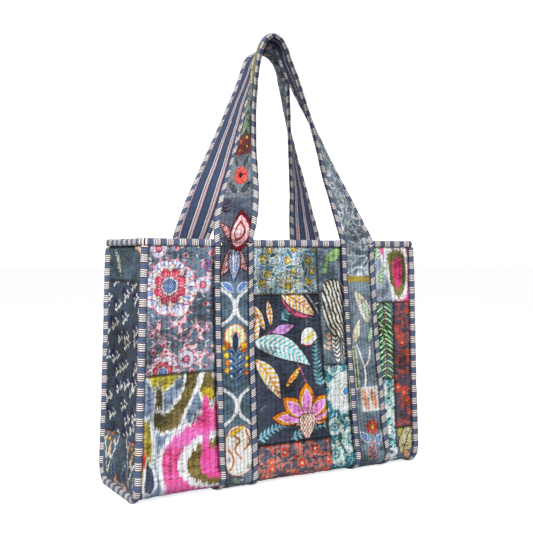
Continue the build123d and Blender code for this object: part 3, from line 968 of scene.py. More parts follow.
def print_gusset_feathers(y, z, seed=151):
    c = Print(y, z, "#55666f", seed)
    c.petal((24, 298), (42, 338), 17, "#3f6a50", "#26352f", "#eef0e6", ribs=5, brushed=-0.2)
    c.petal((27, 304), (38, 330), 6, "#f1f1ea", "#5d7c66")
    c.blob([(-24, 352), (-30, 342), (-48, 336), (-60, 330), (-72, 338), (-74, 352)], "#e3b595", "#b87a58",
           1.2)
    c.petal((-62, 334), (-44, 346), 6, "#f0dac6", "#b87a58")
    c.petal((-52, 306), (-60, 320), 6, "#46566a", "#2f3c4a")
    c.petal((62, 322), (74, 342), 9, "#3f6a50", "#26352f", "#eef0e6", ribs=5)
    return c.rgb


def print_gusset_branches(y, z, seed=161):
    c = Print(y, z, "#5c6a74", seed)
    for centre in (-38, 44):
        for hand, reach in ((-1, 34), (1, 28)):
            path = [(centre, 18), (centre + hand * 8, 40), (centre + hand * reach * 0.6, 60),
                    (centre + hand * reach, 84)]
            c.line(path, 2.6, "#e9e7de", "#46545e", 0.7)
            for share in (1, 2):
                root = path[share]
                c.petal(root, (root[0] - hand * 7, root[1] + 12), 3.6, "#e9e7de", "#46545e")
        c.petal((centre + 2, 44), (centre - 2, 66), 7, "#e7d9b8", "#b46f3a", "#c98d52", ribs=3)
        for k in range(5):
            place = (centre - 12 + 7 * k, 66 + 9 * (k % 2) + 3 * lattice(k, 1, 4))
            c.disc(place, 2.6, ("#e0b03a", "#dd7a35")[k % 2], "#7c4a22", 0.8)
    for by, lean in ((-70, 10), (-14, -8), (16, 10), (72, -6)):
        c.petal((by, 4), (by + lean, 44), 14, "#26406b", "#c9ccd0", "#4a6ca0", ribs=4, brushed=0.1)
        c.petal((by + lean, 2), (by - lean * 0.6, 26), 9, "#d9824a", "#6b3a22", "#f0d7ae", ribs=3)
    return c.rgb


def trellis(c, centre_z, ink):
    """White lattice with pinched crossings on a strap, one crossing in the middle."""
    for hand in (-1, 1):
        for up in (-1, 1):
            for spread, width in ((0, 3.0), (5, 2.4)):
                bow = [(2.5, 0), (2.8 + spread / 3, 9), (6 + spread / 2, 15), (14 + spread / 2, 21),
                       (26, 30 - spread)]
                c.line([(hand * x, centre_z + up * z) for x, z in bow], width, ink, "#4f5f6e", 0.5)
    for across in (-3, 0, 3):
        c.line([(across, centre_z - 10), (across * 0.6, centre_z), (across, centre_z + 10)], 2.0, ink)


def print_left_strap(a, z, seed=181):
    """The left strap's run of pieced cloths, from the ground to the top of the handle."""
    c = Print(a, z, "#76808f", seed)

    def ground(z_low, z_high, colour):
        where = np.flatnonzero((z >= z_low) & (z < z_high))
        c.ink(where, np.ones(len(where)), colour)
    for z_low, z_high, colour in [(90, 292, "#657984"), (292, 408, "#5f6572"), (408, 470, "#7c8085"),
                                  (470, 500, "#6b4038"), (500, 582, "#3f4a4a"), (582, 640, "#8a8466")]:
        ground(z_low, z_high, colour)
    c.sprig((-4, -8), (4, 26), 3, 10, "#7f9a68", "#4f6a4c", WHITE)
    trellis(c, 118, WHITE)
    trellis(c, 257, WHITE)
    c.blob([(-19, 74), (-10, 88), (8, 89), (20, 78), (21, 46), (16, 28), (-4, 22), (-19, 32)], "#efebe2",
           "#a9602f", 1.4)
    for path in ([(-10, 80), (2, 70), (-6, 58), (4, 44)], [(12, 84), (18, 66), (8, 56)],
                 [(-16, 60), (-8, 44), (-14, 32)]):
        c.line(path, 2.2, "#b5633a", "#e9c9a8", 0.9)
    c.petal((-14, 78), (10, 90), 6, "#e6c65a", "#a9602f")
    c.line([(1, 148), (-1, 175), (1, 208)], 1.6, "#27446e", "#8fa3b5", 0.6)
    for k in range(11):
        root = (0, 152 + 5.2 * k)
        hand = (-1) ** k
        reach = 11 + 6 * lattice(k, 3, 7)
        c.petal(root, (hand * reach, root[1] + 10), 3.6, "#27446e", "#7f9cb8", None, bend=2 * hand,
                edge_width=0.7)
        bud = (hand * (reach + 1), root[1] + 12)
        c.disc(bud, 2.8 + 0.8 * (k % 2), "#e6c24c" if k % 3 else "#dd7f33", "#8f4a1e", 0.9)
        c.disc((-hand * reach * 0.5, root[1] + 9), 1.7, "#e9e3d2", "#27446e", 0.7)
    for radius, colour in ((17, "#e39a5e"), (15, "#f4e6d2"), (12, "#eadf7c"), (9, "#f0e2cc"),
                           (7.5, "#e2702e"),
                           (5.0, "#f0e8dc")):
        c.disc((0, 216), radius, colour, wobble=0.06, lobes=16)
    c.petal((0, 222), (0, 192), 9, NAVY, "#8fa3b5")
    c.disc((-12, 204), 3.4, "#dd7f33", "#8f4a1e")
    c.disc((13, 202), 4.2, "#e6b43c", "#c2602a", 1.6)
    for hand in (-1, 1):
        c.petal((hand * 4, 278), (hand * 20, 290), 8, "#5377ac", WHITE, bend=2 * hand)
    for tip, width, bend, red in [((-21, 300), 17, 3, True), ((21, 306), 15, -3, True),
                                  ((-2, 292), 17, 1, False),
                                  ((-22, 372), 11, -2, True), ((21, 378), 11, 2, False)]:
        outer, inner = ("#8e1f2c", "#f0dcd8") if red else ("#35588f", "#e6e3e6")
        c.petal((0, 342), tip, width, outer, "#2a1218", inner, bend=bend, ribs=3.4, edge_width=1.4, point=1.0)
        middle = (0.78 * tip[0], 342 + 0.78 * (tip[1] - 342))
        c.petal((0, 342), middle, width * 0.4, inner, outer, None, bend=bend, vein=outer, point=1.0)
    for share, fill, edge in ((1.0, "#8e1f2c", "#2a1218"), (0.72, "#e2a3aa", "#f4e6e2"),
                              (0.54, "#9c2636", "#f4e6e2"),
                              (0.36, "#e9ccca", "#8e1f2c")):
        c.petal((3, 361 - 27 * share), (7, 361 + 29 * share), 32 * share, fill, edge, "#8e1f2c",
                bend=-5 * share,
                ribs=3.2, point=0.9, edge_width=1.3, brushed=-0.5)
    c.sprig((-14, 384), (-12, 404), 4, 7, "#3d2430", "#3d2430")
    c.flower((2, 440), 13, 8, "#c23b3f", "#4a1a20", BLACK, turn=0.2, rib="#e08a7a")
    for hand in (-1, 1):
        c.petal((hand * 3, 414), (hand * 19, 432), 9, "#2c3238", "#8a8f92", "#6d767c")
        c.petal((hand * 5, 452), (hand * 18, 470), 8, "#2c3238", "#8a8f92", "#6d767c")
    for level in (478, 491):
        c.flower((-9, level), 8, 6, "#a8322f", BLACK, "#e0a03c", turn=level)
        c.flower((10, level + 4), 7, 6, "#8a3a2a", BLACK, "#e6c24c", turn=level)
    for level in (502, 530, 556):
        c.petal((-17, level), (14, level + 30), 17, "#6f8f5e", BLACK, "#d9dcc4", vein=BLACK, ribs=3.6)
        c.petal((16, level - 2), (4, level + 22), 10, "#4a6a5a", BLACK, "#a9c0a0", ribs=3.2)
    for level in (588, 612, 636):
        c.flower((0, level), 12, 7, "#d9bd4a", "#6b4a26", CREAM, turn=level, rib=CREAM)
    return c.rgb


def print_right_strap(a, z, seed=191):
    c = Print(a, z, "#7f8c95", seed)
    marbled = np.flatnonzero(z > 297)
    vein = noise(a[marbled] / 7 + 2 * noise(a[marbled] / 11, z[marbled] / 13, 3), z[marbled] / 9, 5)
    c.ink(marbled, 0.85 * smoothstep(0.4, 0.0, np.abs(vein)), "#e6e8e6")
    c.ink(marbled, 0.5 * smoothstep(0.55, 0.8, vein), "#54606c")
    for k in range(-6, 7):
        c.petal((k * 4, 297), (k * 4 + 1, 288), 3, "#b5a04a", "#7d7434")
    c.petal((12, 226), (-10, 274), 20, "#eee6da", "#7a4a3c", "#e2b090", bend=-4, ribs=6.0, vein="#6f9a72",
            brushed=-0.3)
    c.petal((14, 232), (4, 262), 9, "#8fb08a", "#3f5f50", WHITE, ribs=4)
    c.petal((-16, 196), (-4, 232), 12, "#e9ddcc", "#7a4a3c", "#9fb894", ribs=5, brushed=-0.2)
    c.petal((12, 196), (18, 220), 7, "#8fb08a", "#3f5f50", WHITE, ribs=4)
    c.line([(-4, 126), (0, 146), (-3, 166), (-12, 192)], 3.6, "#eceae4", "#4a5663", 0.9)
    c.line([(-1, 158), (8, 168), (12, 188)], 3.0, "#eceae4", "#4a5663", 0.9)
    c.line([(-17, 128), (-16, 160), (-18, 188)], 4.0, "#7d8450", "#dfe0c9")
    block = np.flatnonzero((z > 90) & (z < 128) & (a > -12))
    c.ink(block, 0.95 * smoothstep(-12, -11, a[block]), "#e9e5de")
    c.petal((0, 92), (-8, 126), 9, None, "#d9a58a", None, edge_width=1.0)
    c.petal((14, 94), (8, 124), 8, None, "#d9a58a", None, edge_width=1.0)
    c.flower((4, 66), 11, 7, "#c23b3f", "#5a1a20", "#e6c24c", rib="#e59a8a")
    c.petal((-4, 44), (-18, 60), 9, "#4a6f9c", WHITE, "#9fb8cf")
    c.petal((6, 40), (19, 54), 9, "#4a6f9c", WHITE, "#9fb8cf")
    c.sprig((0, 14), (4, 42), 4, 8, "#7a2f38", "#5a2028", "#cfa8a4")
    c.sprig((-12, 0), (-10, 24), 3, 7, "#5f8a7a", "#3f5f50")
    for level in np.arange(352, 660, 46):
        c.sprig((-10, level), (8, level + 40), 5, 8, "#b9c2c2", "#8b979b", "#4d5a66")
    return c.rgb


# ---------------------------------------------------------------- materials
def wire(tree, kind, inputs=None, **settings):
    """Adds a shader node; inputs given as sockets are linked and the rest are set."""
    node = tree.nodes.new(kind)
    for key, value in settings.items():
        setattr(node, key, value)
    for key, value in (inputs or {}).items():
        if isinstance(value, bpy.types.NodeSocket):
            tree.links.new(value, node.inputs[key])
        else:
            node.inputs[key].default_value = value
    return node


def calc(tree, operation, a, b=0.0, c=0.0):
    return wire(tree, "ShaderNodeMath", {0: a, 1: b, 2: c}, operation=operation).outputs[0]


def mix(tree, share, a, b):
    return wire(tree, "ShaderNodeMix", {0: share, 6: a, 7: b}, data_type="RGBA").outputs[2]


def ramp(tree, share, stops):
    """Colours along 0 to 1; each stop is a place and a hex colour."""
    node = wire(tree, "ShaderNodeValToRGB", {0: share})
    elements = node.color_ramp.elements
    while len(elements) < len(stops):
        elements.new(0.5)
    for element, (place, colour) in zip(elements, stops):
        element.position = place
        element.color = rgba(colour)
    return node.outputs[0]


def fibre_noise(tree, place, scale, detail=2.0, roughness=0.55):
    """Noise from 0 to 1 with its own scale along each direction of the cloth, in cells per millimetre."""
    stretched = wire(tree, "ShaderNodeVectorMath", {0: place, 1: scale}, operation="MULTIPLY").outputs[0]
    settings = {"Vector": stretched, "Scale": 1.0, "Detail": detail, "Roughness": roughness}
    return wire(tree, "ShaderNodeTexNoise", settings).outputs[0]


def cloth(name, colour_of, weave=1.0, slub=0.22, rows=8.0, dash=5.2, thread="#232c3a", stitches=True,
          sheen=0.1, rough=(0.72, 0.95), relief=0.45):
    """Cotton: a weave, slubs, fading, and optional rows of running stitches along the second direction."""
    material = bpy.data.materials.new(name)
    material.use_nodes = True
    tree = material.node_tree
    shader = tree.nodes["Principled BSDF"]
    place = wire(tree, "ShaderNodeAttribute", attribute_name="flat").outputs["Vector"]
    split = wire(tree, "ShaderNodeSeparateXYZ", {0: place})
    u, v = split.outputs[0], split.outputs[1]
    colour = colour_of(tree, place, u, v)

    warp = calc(tree, "SINE", calc(tree, "MULTIPLY", u, 2 * math.pi / weave))
    weft = calc(tree, "SINE", calc(tree, "MULTIPLY", v, 2 * math.pi / weave))
    woven = calc(tree, "MULTIPLY", warp, weft)
    slubs = fibre_noise(tree, place, (0.09, 1.1, 1.0))
    threads = fibre_noise(tree, place, (1.3, 0.06, 1.0))
    faded = fibre_noise(tree, place, (0.03, 0.03, 1.0), 4.0)
    shade = calc(tree, "MULTIPLY_ADD", calc(tree, "SUBTRACT", slubs, 0.5), slub * 2, 1.0)
    shade = calc(tree, "MULTIPLY_ADD", calc(tree, "SUBTRACT", threads, 0.5), slub, shade)
    shade = calc(tree, "MULTIPLY_ADD", calc(tree, "SUBTRACT", faded, 0.5), 0.35, shade)
    shade = calc(tree, "MULTIPLY_ADD", woven, 0.05, shade)
    colour = wire(tree, "ShaderNodeVectorMath", {0: colour, "Scale": shade}, operation="SCALE").outputs[0]

    height = calc(tree, "MULTIPLY", woven, 0.12)
    height = calc(tree, "MULTIPLY_ADD", slubs, 0.8, height)
    height = calc(tree, "MULTIPLY_ADD", threads, 0.35, height)
    if stitches:
        wander = calc(tree, "MULTIPLY", fibre_noise(tree, place, (0.02, 0.02, 1.0)), 0.5)
        row = calc(tree, "ADD", calc(tree, "DIVIDE", u, rows), wander)
        number = calc(tree, "FLOOR", row)
        off = calc(tree, "ABSOLUTE", calc(tree, "SUBTRACT", calc(tree, "SUBTRACT", row, number), 0.5))
        on_row = wire(
            tree, "ShaderNodeMapRange", {0: off, 1: 0.3 / rows, 2: 0.65 / rows, 3: 1.0, 4: 0.0}
        ).outputs[0]
        beat = calc(tree, "FRACT", calc(tree, "MULTIPLY_ADD", number, 0.37, calc(tree, "DIVIDE", v, dash)))
        pulse = calc(tree, "ABSOLUTE", calc(tree, "SUBTRACT", beat, 0.5))
        on_dash = wire(tree, "ShaderNodeMapRange", {0: pulse, 1: 0.22, 2: 0.28, 3: 1.0, 4: 0.0}).outputs[0]
        stitch = calc(tree, "MULTIPLY", on_row, on_dash)
        colour = mix(tree, calc(tree, "MULTIPLY", stitch, 0.42), colour, rgba(thread))
        height = calc(tree, "MULTIPLY_ADD", stitch, 1.0, height)
        hole = calc(tree, "MULTIPLY", on_row, calc(tree, "SUBTRACT", 1.0, on_dash))
        height = calc(tree, "MULTIPLY_ADD", hole, -1.2, height)
    bump = wire(tree, "ShaderNodeBump", {"Height": height, "Strength": 0.9, "Distance": relief * MM})
    matt = wire(tree, "ShaderNodeMapRange", {0: threads, 3: rough[0], 4: rough[1]}).outputs[0]
    tree.links.new(colour, shader.inputs["Base Color"])
    tree.links.new(matt, shader.inputs["Roughness"])
    tree.links.new(bump.outputs[0], shader.inputs["Normal"])
    shader.inputs["Sheen Weight"].default_value = sheen
    shader.inputs["Specular IOR Level"].default_value = 0.18
    return material


def printed(tree, place, u, v):
    return wire(tree, "ShaderNodeAttribute", attribute_name="print").outputs["Color"]


BINDING_REPEAT = 19.3
BINDING_LEAN = 0.07
STRIPE_LEAN = 0.5


def binding_stripes(tree, place, u, v):
    """Blue blocks between groups of four cream stripes edged with maroon, across the binding."""
    leaning = calc(tree, "MULTIPLY_ADD", u, BINDING_LEAN, v)
    turn = calc(tree, "FRACT", calc(tree, "DIVIDE", leaning, BINDING_REPEAT))
    blue, deep, cream, maroon = "#66758f", "#53627e", "#faf5f2", "#4a1524"
    stops = [(0.0, blue), (0.2, deep), (0.375, blue), (0.39, maroon), (0.42, maroon)]
    for stripe in range(4):
        start = 0.435 + 0.14 * stripe
        stops += [(start, cream), (start + 0.065, cream), (start + 0.078, maroon), (start + 0.127, maroon)]
    colour = ramp(tree, turn, stops)
    # Painted shade: sides of the binding turned in against the cloth beside them are painted darker, down to
    # 0.22 of their colour.
    tuck_shade = wire(tree, "ShaderNodeSeparateXYZ", {0: place}).outputs[2]
    tuck_shade = wire(tree, "ShaderNodeMapRange", {0: tuck_shade, 3: 1.0, 4: 0.22}).outputs[0]
    return wire(tree, "ShaderNodeVectorMath", {0: colour, "Scale": tuck_shade}, operation="SCALE").outputs[0]


LINING_REPEAT = 19.5


def lining_stripes(tree, place, u, v):
    """Lengthwise navy bands between groups of fine pink and white stripes."""
    turn = calc(tree, "FRACT", calc(tree, "DIVIDE", u, LINING_REPEAT))
    navy, soft, white, pink, maroon = "#3b4963", "#4a5a75", "#e9e4e2", "#c9a0a8", "#4d2433"
    stops = [(0.0, navy), (0.28, soft), (0.57, navy), (0.585, maroon), (0.60, white), (0.65, white),
             (0.665, maroon),
             (0.68, pink), (0.73, pink), (0.745, navy), (0.785, navy), (0.80, white), (0.85, white), (0.865,
                                                                                                      maroon),
             (0.88, pink), (0.94, pink), (0.955, maroon), (0.975, navy)]
    return ramp(tree, turn, stops)


def batting(tree, place, u, v):
    tufts = fibre_noise(tree, place, (0.5, 0.5, 1.0), 5.0)
    return ramp(tree, tufts, [(0.3, "#cfc8b8"), (0.7, "#efe9dc")])


PRINT_LOOKS = {
    "slate_flower_print": {},
    "pink_ikat_print": dict(slub=0.28),
    "charcoal_leaf_print": dict(thread="#1c222c"),
    "teal_print": dict(thread="#1e3a44"),
    "rust_print": dict(thread="#2a2430"),
    "grey_print": dict(slub=0.34, rows=9.0),
    "slate_gusset_print": dict(thread="#171f29", rows=7.0),
    "strap_print": dict(rows=6.0, dash=4.4, slub=0.3),
}
MATERIALS = {name: cloth(name, printed, **look) for name, look in PRINT_LOOKS.items()}
MATERIALS["striped_binding"] = cloth("striped_binding", binding_stripes, stitches=False, slub=0.18,
                                     relief=0.3)
MATERIALS["striped_lining"] = cloth("striped_lining", lining_stripes, rows=LINING_REPEAT, thread="#2c3a58")
MATERIALS["wadding"] = cloth("wadding", batting, weave=2.3, slub=0.1, stitches=False, rough=(0.9, 1.0),
                             relief=0.8)


# ---------------------------------------------------------------- quilting
ROW_PITCH = 8.0


def strap_centre(name, z):
    top, bottom = STRAP_LINES[name]
    return top + (bottom - top) * (BAG_TOP - z) / BAG_TOP


def quilting(u, v, seed=0, rows=ROW_PITCH, height=1.0):
    """Height of hand quilting: puffed rows, pressed in along the stitches, with crinkles across them."""
    wander = 0.5 * noise(u / 50, v / 50, seed) * rows * 0.3
    phase = (u + wander) / rows
    off = np.abs(phase - np.floor(phase) - 0.5) * rows
    groove = -0.65 * np.exp(-((off / 1.1) ** 2))
    number = np.floor(phase)
    beat = np.cos(2 * math.pi * (v / 5.2 + 0.37 * number))
    puff = 0.34 * beat * np.exp(-((off / 2.2) ** 2))
    crinkle = 0.66 * noise(u / 7.0, v / 2.8, seed + 2) + 0.38 * noise(u / 3.4, v / 2.1, seed + 3)
    billow = 1.0 * noise(u / 34, v / 27, seed + 4) + 0.6 * noise(u / 15, v / 11, seed + 6)
    return height * (groove + puff + crinkle + billow)


def beside_straps(x, z):
    """The panel dips where a strap's bound edge is stitched down on it."""
    dip = 0
    for name in STRAP_LINES:
        gap = np.abs(x - strap_centre(name, z)) - STRAP_HALF
        dip = dip + 1.5 * np.exp(-(((gap - 1.0) / 2.6) ** 2)) - 0.7 * np.exp(-(((gap - 8.0) / 4.0) ** 2))
    return -dip


def strap_shadow(x, z):
    """How dark the cloth is in the narrow gap beside a strap's bound edge, 1 where it is open."""
    dark = 0
    for name in STRAP_LINES:
        gap = np.abs(x - strap_centre(name, z)) - STRAP_HALF
        dark = np.maximum(dark, np.exp(-(((gap - 0.6) / 1.9) ** 2)))
    return 1 - 0.8 * dark


# How far a quilted face may sink, on patches and on straps, and the height over which it eases to a stop.
PATCH_LOWEST, BAND_LOWEST, LIFT_EASE = -1.05, -1.15, 0.65


def held_up(lift, lowest=PATCH_LOWEST):
    """Stops a quilted face short of sinking into the wadding behind it."""
    knee = lowest + LIFT_EASE
    return np.where(lift < knee, knee - LIFT_EASE * np.tanh((knee - lift) / LIFT_EASE), lift)


def painted_relief_shading(lift):
    """Painted shade and highlight: cloth is painted darker down in its stitched grooves and paler on its
    puffs.
    """
    return np.clip(1.04 + 0.45 * lift, 0.40, 1.32)


def pressed_seams(distance):
    """A patch rolls down into the seam at its edge."""
    return -1.3 * np.exp(-((distance / 2.4) ** 2)) + 0.35 * np.exp(-(((distance - 4.5) / 2.2) ** 2))


def under_straps(x, z):
    """1 under a strap and 0 away from it."""
    cover = 0
    for name in STRAP_LINES:
        away = np.abs(x - strap_centre(name, z))
        cover = np.maximum(cover, smoothstep(STRAP_HALF + 3, STRAP_HALF - 3, away))
    return cover


# Steps between vertices: on the front, the back, the base and the gussets. A coarse step is COARSE fine ones.
FINE, BACK_FINE, BASE_FINE, GUSSET_FINE = 0.95, 1.25, 1.5, 1.1
COARSE = 4
WADDING_STEP, LINING_STEP = 5.0, 1.9
BINDING_STEP = 1.5
# How much painted shade darkens a seam, and how far from it.
SEAM_SHADE, SEAM_SHADE_WIDTH = 0.45, 1.3
# Added to the distance from a seam that is pressed in only slightly.
SLIGHT_SEAM = 2.0
# How far a panel's cloth is pressed in under a strap.
UNDER_STRAP_DROP = 0.8


def flat_places(*grids):
    """Places on the flat cloth for a slab's face and back, one row for each vertex."""
    return np.concatenate([np.stack([u.ravel(), v.ravel()], 1) for u, v in grids])


def even_grids(left, right, first, last, step, ratio=COARSE):
    """Even places across and along a rectangle of cloth, as a fine grid and a coarse one."""
    rows = round((last - first) / (step * ratio))
    columns = round((right - left) / (step * ratio))
    grids = []
    for density in (ratio, 1):
        along = np.linspace(first, last, rows * density + 1)[:, None]
        across = np.linspace(left, right, columns * density + 1)[None, :]
        grids.append(np.broadcast_arrays(across, along))
    return grids


def shade_patch(colours, to_seam, painted_shade_and_highlight):
    """Paints shade into a patch's ink: darker in its seams, and by the painted shade and highlight given for
    its face.
    """
    face = slice(0, to_seam.size)
    colours[face] *= 1 - SEAM_SHADE * np.exp(-((to_seam.reshape(-1, 1) / SEAM_SHADE_WIDTH) ** 2))
    colours[face] *= painted_shade_and_highlight.reshape(-1, 1)
    return colours


def patch_grid(left, right, low, high, step, ratio=COARSE):
    """Places in X and in length over a patch between two slanting edges, fine and coarse."""
    rows = max(1, round((high - low) / (step * ratio)))
    columns = max(1, round((right(low) - left(low)) / (step * ratio)))
    grids = []
    for density in (ratio, 1):
        t = np.linspace(0, 1, rows * density + 1)[:, None]
        w = np.linspace(0, 1, columns * density + 1)[None, :]
        z = low + (high - low) * t + 0 * w
        x = left(z) * (1 - w) + right(z) * w
        grids.append((x, z, w * (right(z) - left(z)), (1 - w) * (right(z) - left(z)), z - low, high - z))
    return grids


def panel_patch(node, left, right, low, high, draw, slot, side, step=FINE):
    """One printed patch of the front (side -1) or the back (side 1)."""
    fine, coarse = patch_grid(left, right, low, high, step)
    x, z, from_left, from_right, from_low, from_high = fine
    # At the base the cloth runs on round the corner, so its seam there is slight.
    from_end = np.minimum(from_low + SLIGHT_SEAM * (low <= RADIUS), from_high)
    to_seam = np.minimum(np.minimum(from_left, from_right), from_end)
    lift = quilting(x, z, seed=3 + side) + pressed_seams(to_seam) + beside_straps(x, z)
    cover = under_straps(x, z)
    # Painted shade in the quilting's grooves and painted highlight on its puffs, with a painted shadow in the
    # gap beside each strap.
    painted_shade_and_highlight = painted_relief_shading(lift) * strap_shadow(x, z)
    lift = held_up(lift) * (1 - cover) - UNDER_STRAP_DROP * cover

    def place(x, z, depth):
        s = PANEL_TOP - z if side < 0 else OUTLINE_LENGTH - (PANEL_TOP - z)
        return tub_point(x, s, depth)
    face = place(x, z, COVER_DEPTH[0] - lift)
    back = place(coarse[0], coarse[1], COVER_DEPTH[1])
    mesh = slab(node, face, back, COARSE)
    flat = flat_places((x, z), coarse[:2])
    # Seen from behind, the back's prints run from its own left.
    colours = draw(-side * flat[:, 0], flat[:, 1])
    paint(mesh, flat, shade_patch(colours, to_seam, painted_shade_and_highlight))
    piece = add_piece(node, mesh, slot)
    width = (right(low) - left(low) + right(high) - left(high)) / 2


def left_strap_line(z):
    return strap_centre("left", z)


def right_strap_line(z):
    return strap_centre("right", z)


FAR_RIGHT_SEAM = 192.0


def middle_seam(z):
    return 45.0 + 0.1 * (PANEL_TOP - z)


def far_right_seam(z):
    return FAR_RIGHT_SEAM + 0 * z


def panel_left(z):
    return -PANEL_HALF_WIDTH + 0 * z


def panel_right(z):
    return PANEL_HALF_WIDTH + 0 * z


# ---------------------------------------------------------------- body pieces
def build_front():
    """Twelve pieced patches, left to right."""
    patches = [
        ("big_flower", panel_left, left_strap_line, print_big_flower, "slate_flower_print"),
        ("ikat", panel_left, left_strap_line, print_ikat, "pink_ikat_print"),
        ("scrolls", left_strap_line, middle_seam, print_scrolls, "teal_print"),
        ("leaves", left_strap_line, middle_seam, print_leaves, "charcoal_leaf_print"),
        ("coral", left_strap_line, middle_seam, print_coral, "rust_print"),
        ("stripes", middle_seam, right_strap_line, print_stripes, "grey_print"),
        ("sea_flowers", middle_seam, right_strap_line, print_sea_flowers, "teal_print"),
        ("pink_ikat", right_strap_line, panel_right, print_pink_ikat, "pink_ikat_print"),
        ("palm", right_strap_line, far_right_seam, print_palm, "grey_print"),
        ("rust", far_right_seam, panel_right, print_rust, "rust_print"),
        ("teal", right_strap_line, far_right_seam, print_teal, "teal_print"),
        ("stems", far_right_seam, panel_right, print_stems, "grey_print"),
    ]
    for name, left, right, draw, slot in patches:
        node = f"front_patch_{name}"
        low, high = (corner[2] for corner in node_box(node))
        panel_patch(node, left, right, low, high, draw, slot, -1)


def moved_print(draw, across, up):
    """The same print laid elsewhere on the cloth."""
    return lambda x, z: draw(x + across, z + up)


def build_back():
    patches = [
        ("upper_left", panel_left, left_strap_line, print_back_leaves, "charcoal_leaf_print"),
        ("lower_left", panel_left, left_strap_line, print_teal, "teal_print"),
        ("upper_middle", left_strap_line, right_strap_line, print_slate, "slate_flower_print"),
        ("lower_middle", left_strap_line, right_strap_line, print_back_leaves, "charcoal_leaf_print"),
        ("upper_right", right_strap_line, panel_right, print_big_flower, "slate_flower_print"),
        ("lower_right", right_strap_line, panel_right, moved_print(print_ikat, 0, -34), "pink_ikat_print"),
    ]
    for name, left, right, draw, slot in patches:
        node = f"back_patch_{name}"
        low, high = (corner[2] for corner in node_box(node))
        panel_patch(node, left, right, low, high, draw, slot, 1, BACK_FINE)


def print_base_middle(x, z):
    share = smoothstep(-0.5, 0.5, x - middle_seam(z))[:, None]
    return print_coral(x, z) * (1 - share) + print_sea_flowers(x, z) * share


def print_base_right(x, z):
    share = smoothstep(-0.5, 0.5, x - FAR_RIGHT_SEAM)[:, None]
    return print_teal(x, z) * (1 - share) + print_stems(x, z) * share


def build_base():
    """The base cloth, with the front prints carried on under it."""
    edges = {"left": -PANEL_HALF_WIDTH, "middle": strap_centre("left", RADIUS),
             "right": strap_centre("right", RADIUS), "end": PANEL_HALF_WIDTH}
    prints = {"left": (print_ikat, "left", "middle"), "middle": (print_base_middle, "middle", "right"),
              "right": (print_base_right, "right", "end")}
    for name, (draw, first, last) in prints.items():
        node = f"base_patch_{name}"
        grids = even_grids(edges[first], edges[last], FRONT_LENGTH, BACK_START, BASE_FINE)
        (x, s), (coarse_x, coarse_s) = grids
        sides = np.minimum(x - edges[first], edges[last] - x)
        cover = under_straps(x, RADIUS)
        lift = held_up(0.8 * quilting(x, s,
                                      5) + pressed_seams(sides)) * (1 - cover) - UNDER_STRAP_DROP * cover
        flat_part = smoothstep(CORNER_END - 14, CORNER_END, s) * smoothstep(BASE_END + 14, BASE_END, s)
        lift = lift * (1 - flat_part) + np.minimum(lift, 0.3) * flat_part
        face, back = tub_point(x, s, COVER_DEPTH[0] - lift), tub_point(coarse_x, coarse_s, COVER_DEPTH[1])
        mesh = slab(node, face, back, COARSE)
        flat = flat_places(*grids)
        paint(mesh, flat, draw(flat[:, 0], PANEL_TOP - flat[:, 1]))
        piece = add_piece(node, mesh, "rust_print")


def gusset_grid(low, high, step, ratio):
    rows = max(1, round((high - low) / (step * ratio)))
    columns = round(2 * (HALF_DEPTH - SEAM_BINDING) / (step * ratio))
    grids = []
    for density in (ratio, 1):
        z = np.linspace(low, high, rows * density + 1)[:, None]
        w = np.linspace(-1, 1, columns * density + 1)[None, :]
        grids.append(np.broadcast_arrays(w * gusset_half(z, SEAM_BINDING), z))
    return grids


def build_gussets():
    prints = {"bottom": print_gusset_branches, "middle": print_gusset_sprigs, "top": print_gusset_feathers}
    for name, side in (("left", -1), ("right", 1)):
        for level, draw in prints.items():
            node = f"{name}_gusset_patch_{level}"
            low, high = (corner[2] for corner in node_box(node))
            grids = gusset_grid(low, high, GUSSET_FINE, COARSE)
            (y, z), (coarse_y, coarse_z) = grids
            half = np.abs(y[:, :1])
            from_end = np.minimum(z - low, high - z) + SLIGHT_SEAM * (low <= SEAM_BINDING)
            to_seam = np.minimum(half - np.abs(y), from_end)
            lift = quilting(y, z, 9 + side, rows=7.0) + pressed_seams(to_seam)
            mesh = slab(
                node,
                gusset_point(side, y, z, COVER_DEPTH[0] - held_up(lift)),
                gusset_point(side, coarse_y, coarse_z, COVER_DEPTH[1]),
                COARSE,
            )
            flat = flat_places(*grids)
            colours = draw(flat[:, 0], flat[:, 1])
            # Painted shade in the seams and quilting grooves, and painted highlight on the puffs.
            paint(mesh, flat, shade_patch(colours, to_seam, painted_relief_shading(lift)))
            piece = add_piece(node, mesh, "slate_gusset_print")


# Fine steps in a coarse one, on wadding and linings.
LAYER_RATIO = 2


def layer(node, first, last, x_half, depths, slot, step, fold=0.0):
    """A plain layer of the tub panel between two lengths along the outline, finer on the bag's inside."""
    grids = even_grids(-x_half, x_half, first, last, step, LAYER_RATIO)
    surfaces = []
    for (x, s), depth, share in zip(grids, depths[::-1], (fold, 0)):
        surfaces.append(tub_point(x, s, depth + share * quilting(x, s, 12)))
    mesh = slab(node, *surfaces, LAYER_RATIO)
    paint(mesh, flat_places(*grids))
    return add_piece(node, mesh, slot)


def gusset_layer(node, side, depths, slot, step, fold=0.0):
    grids = gusset_grid(SEAM_BINDING, PANEL_TOP, step, LAYER_RATIO)
    surfaces = []
    for (y, z), depth, share in zip(grids, depths[::-1], (fold, 0)):
        surfaces.append(gusset_point(side, y, z, depth + share * quilting(y, z, 14)))
    mesh = slab(node, *surfaces, LAYER_RATIO)
    paint(mesh, flat_places(*grids))
    return add_piece(node, mesh, slot)


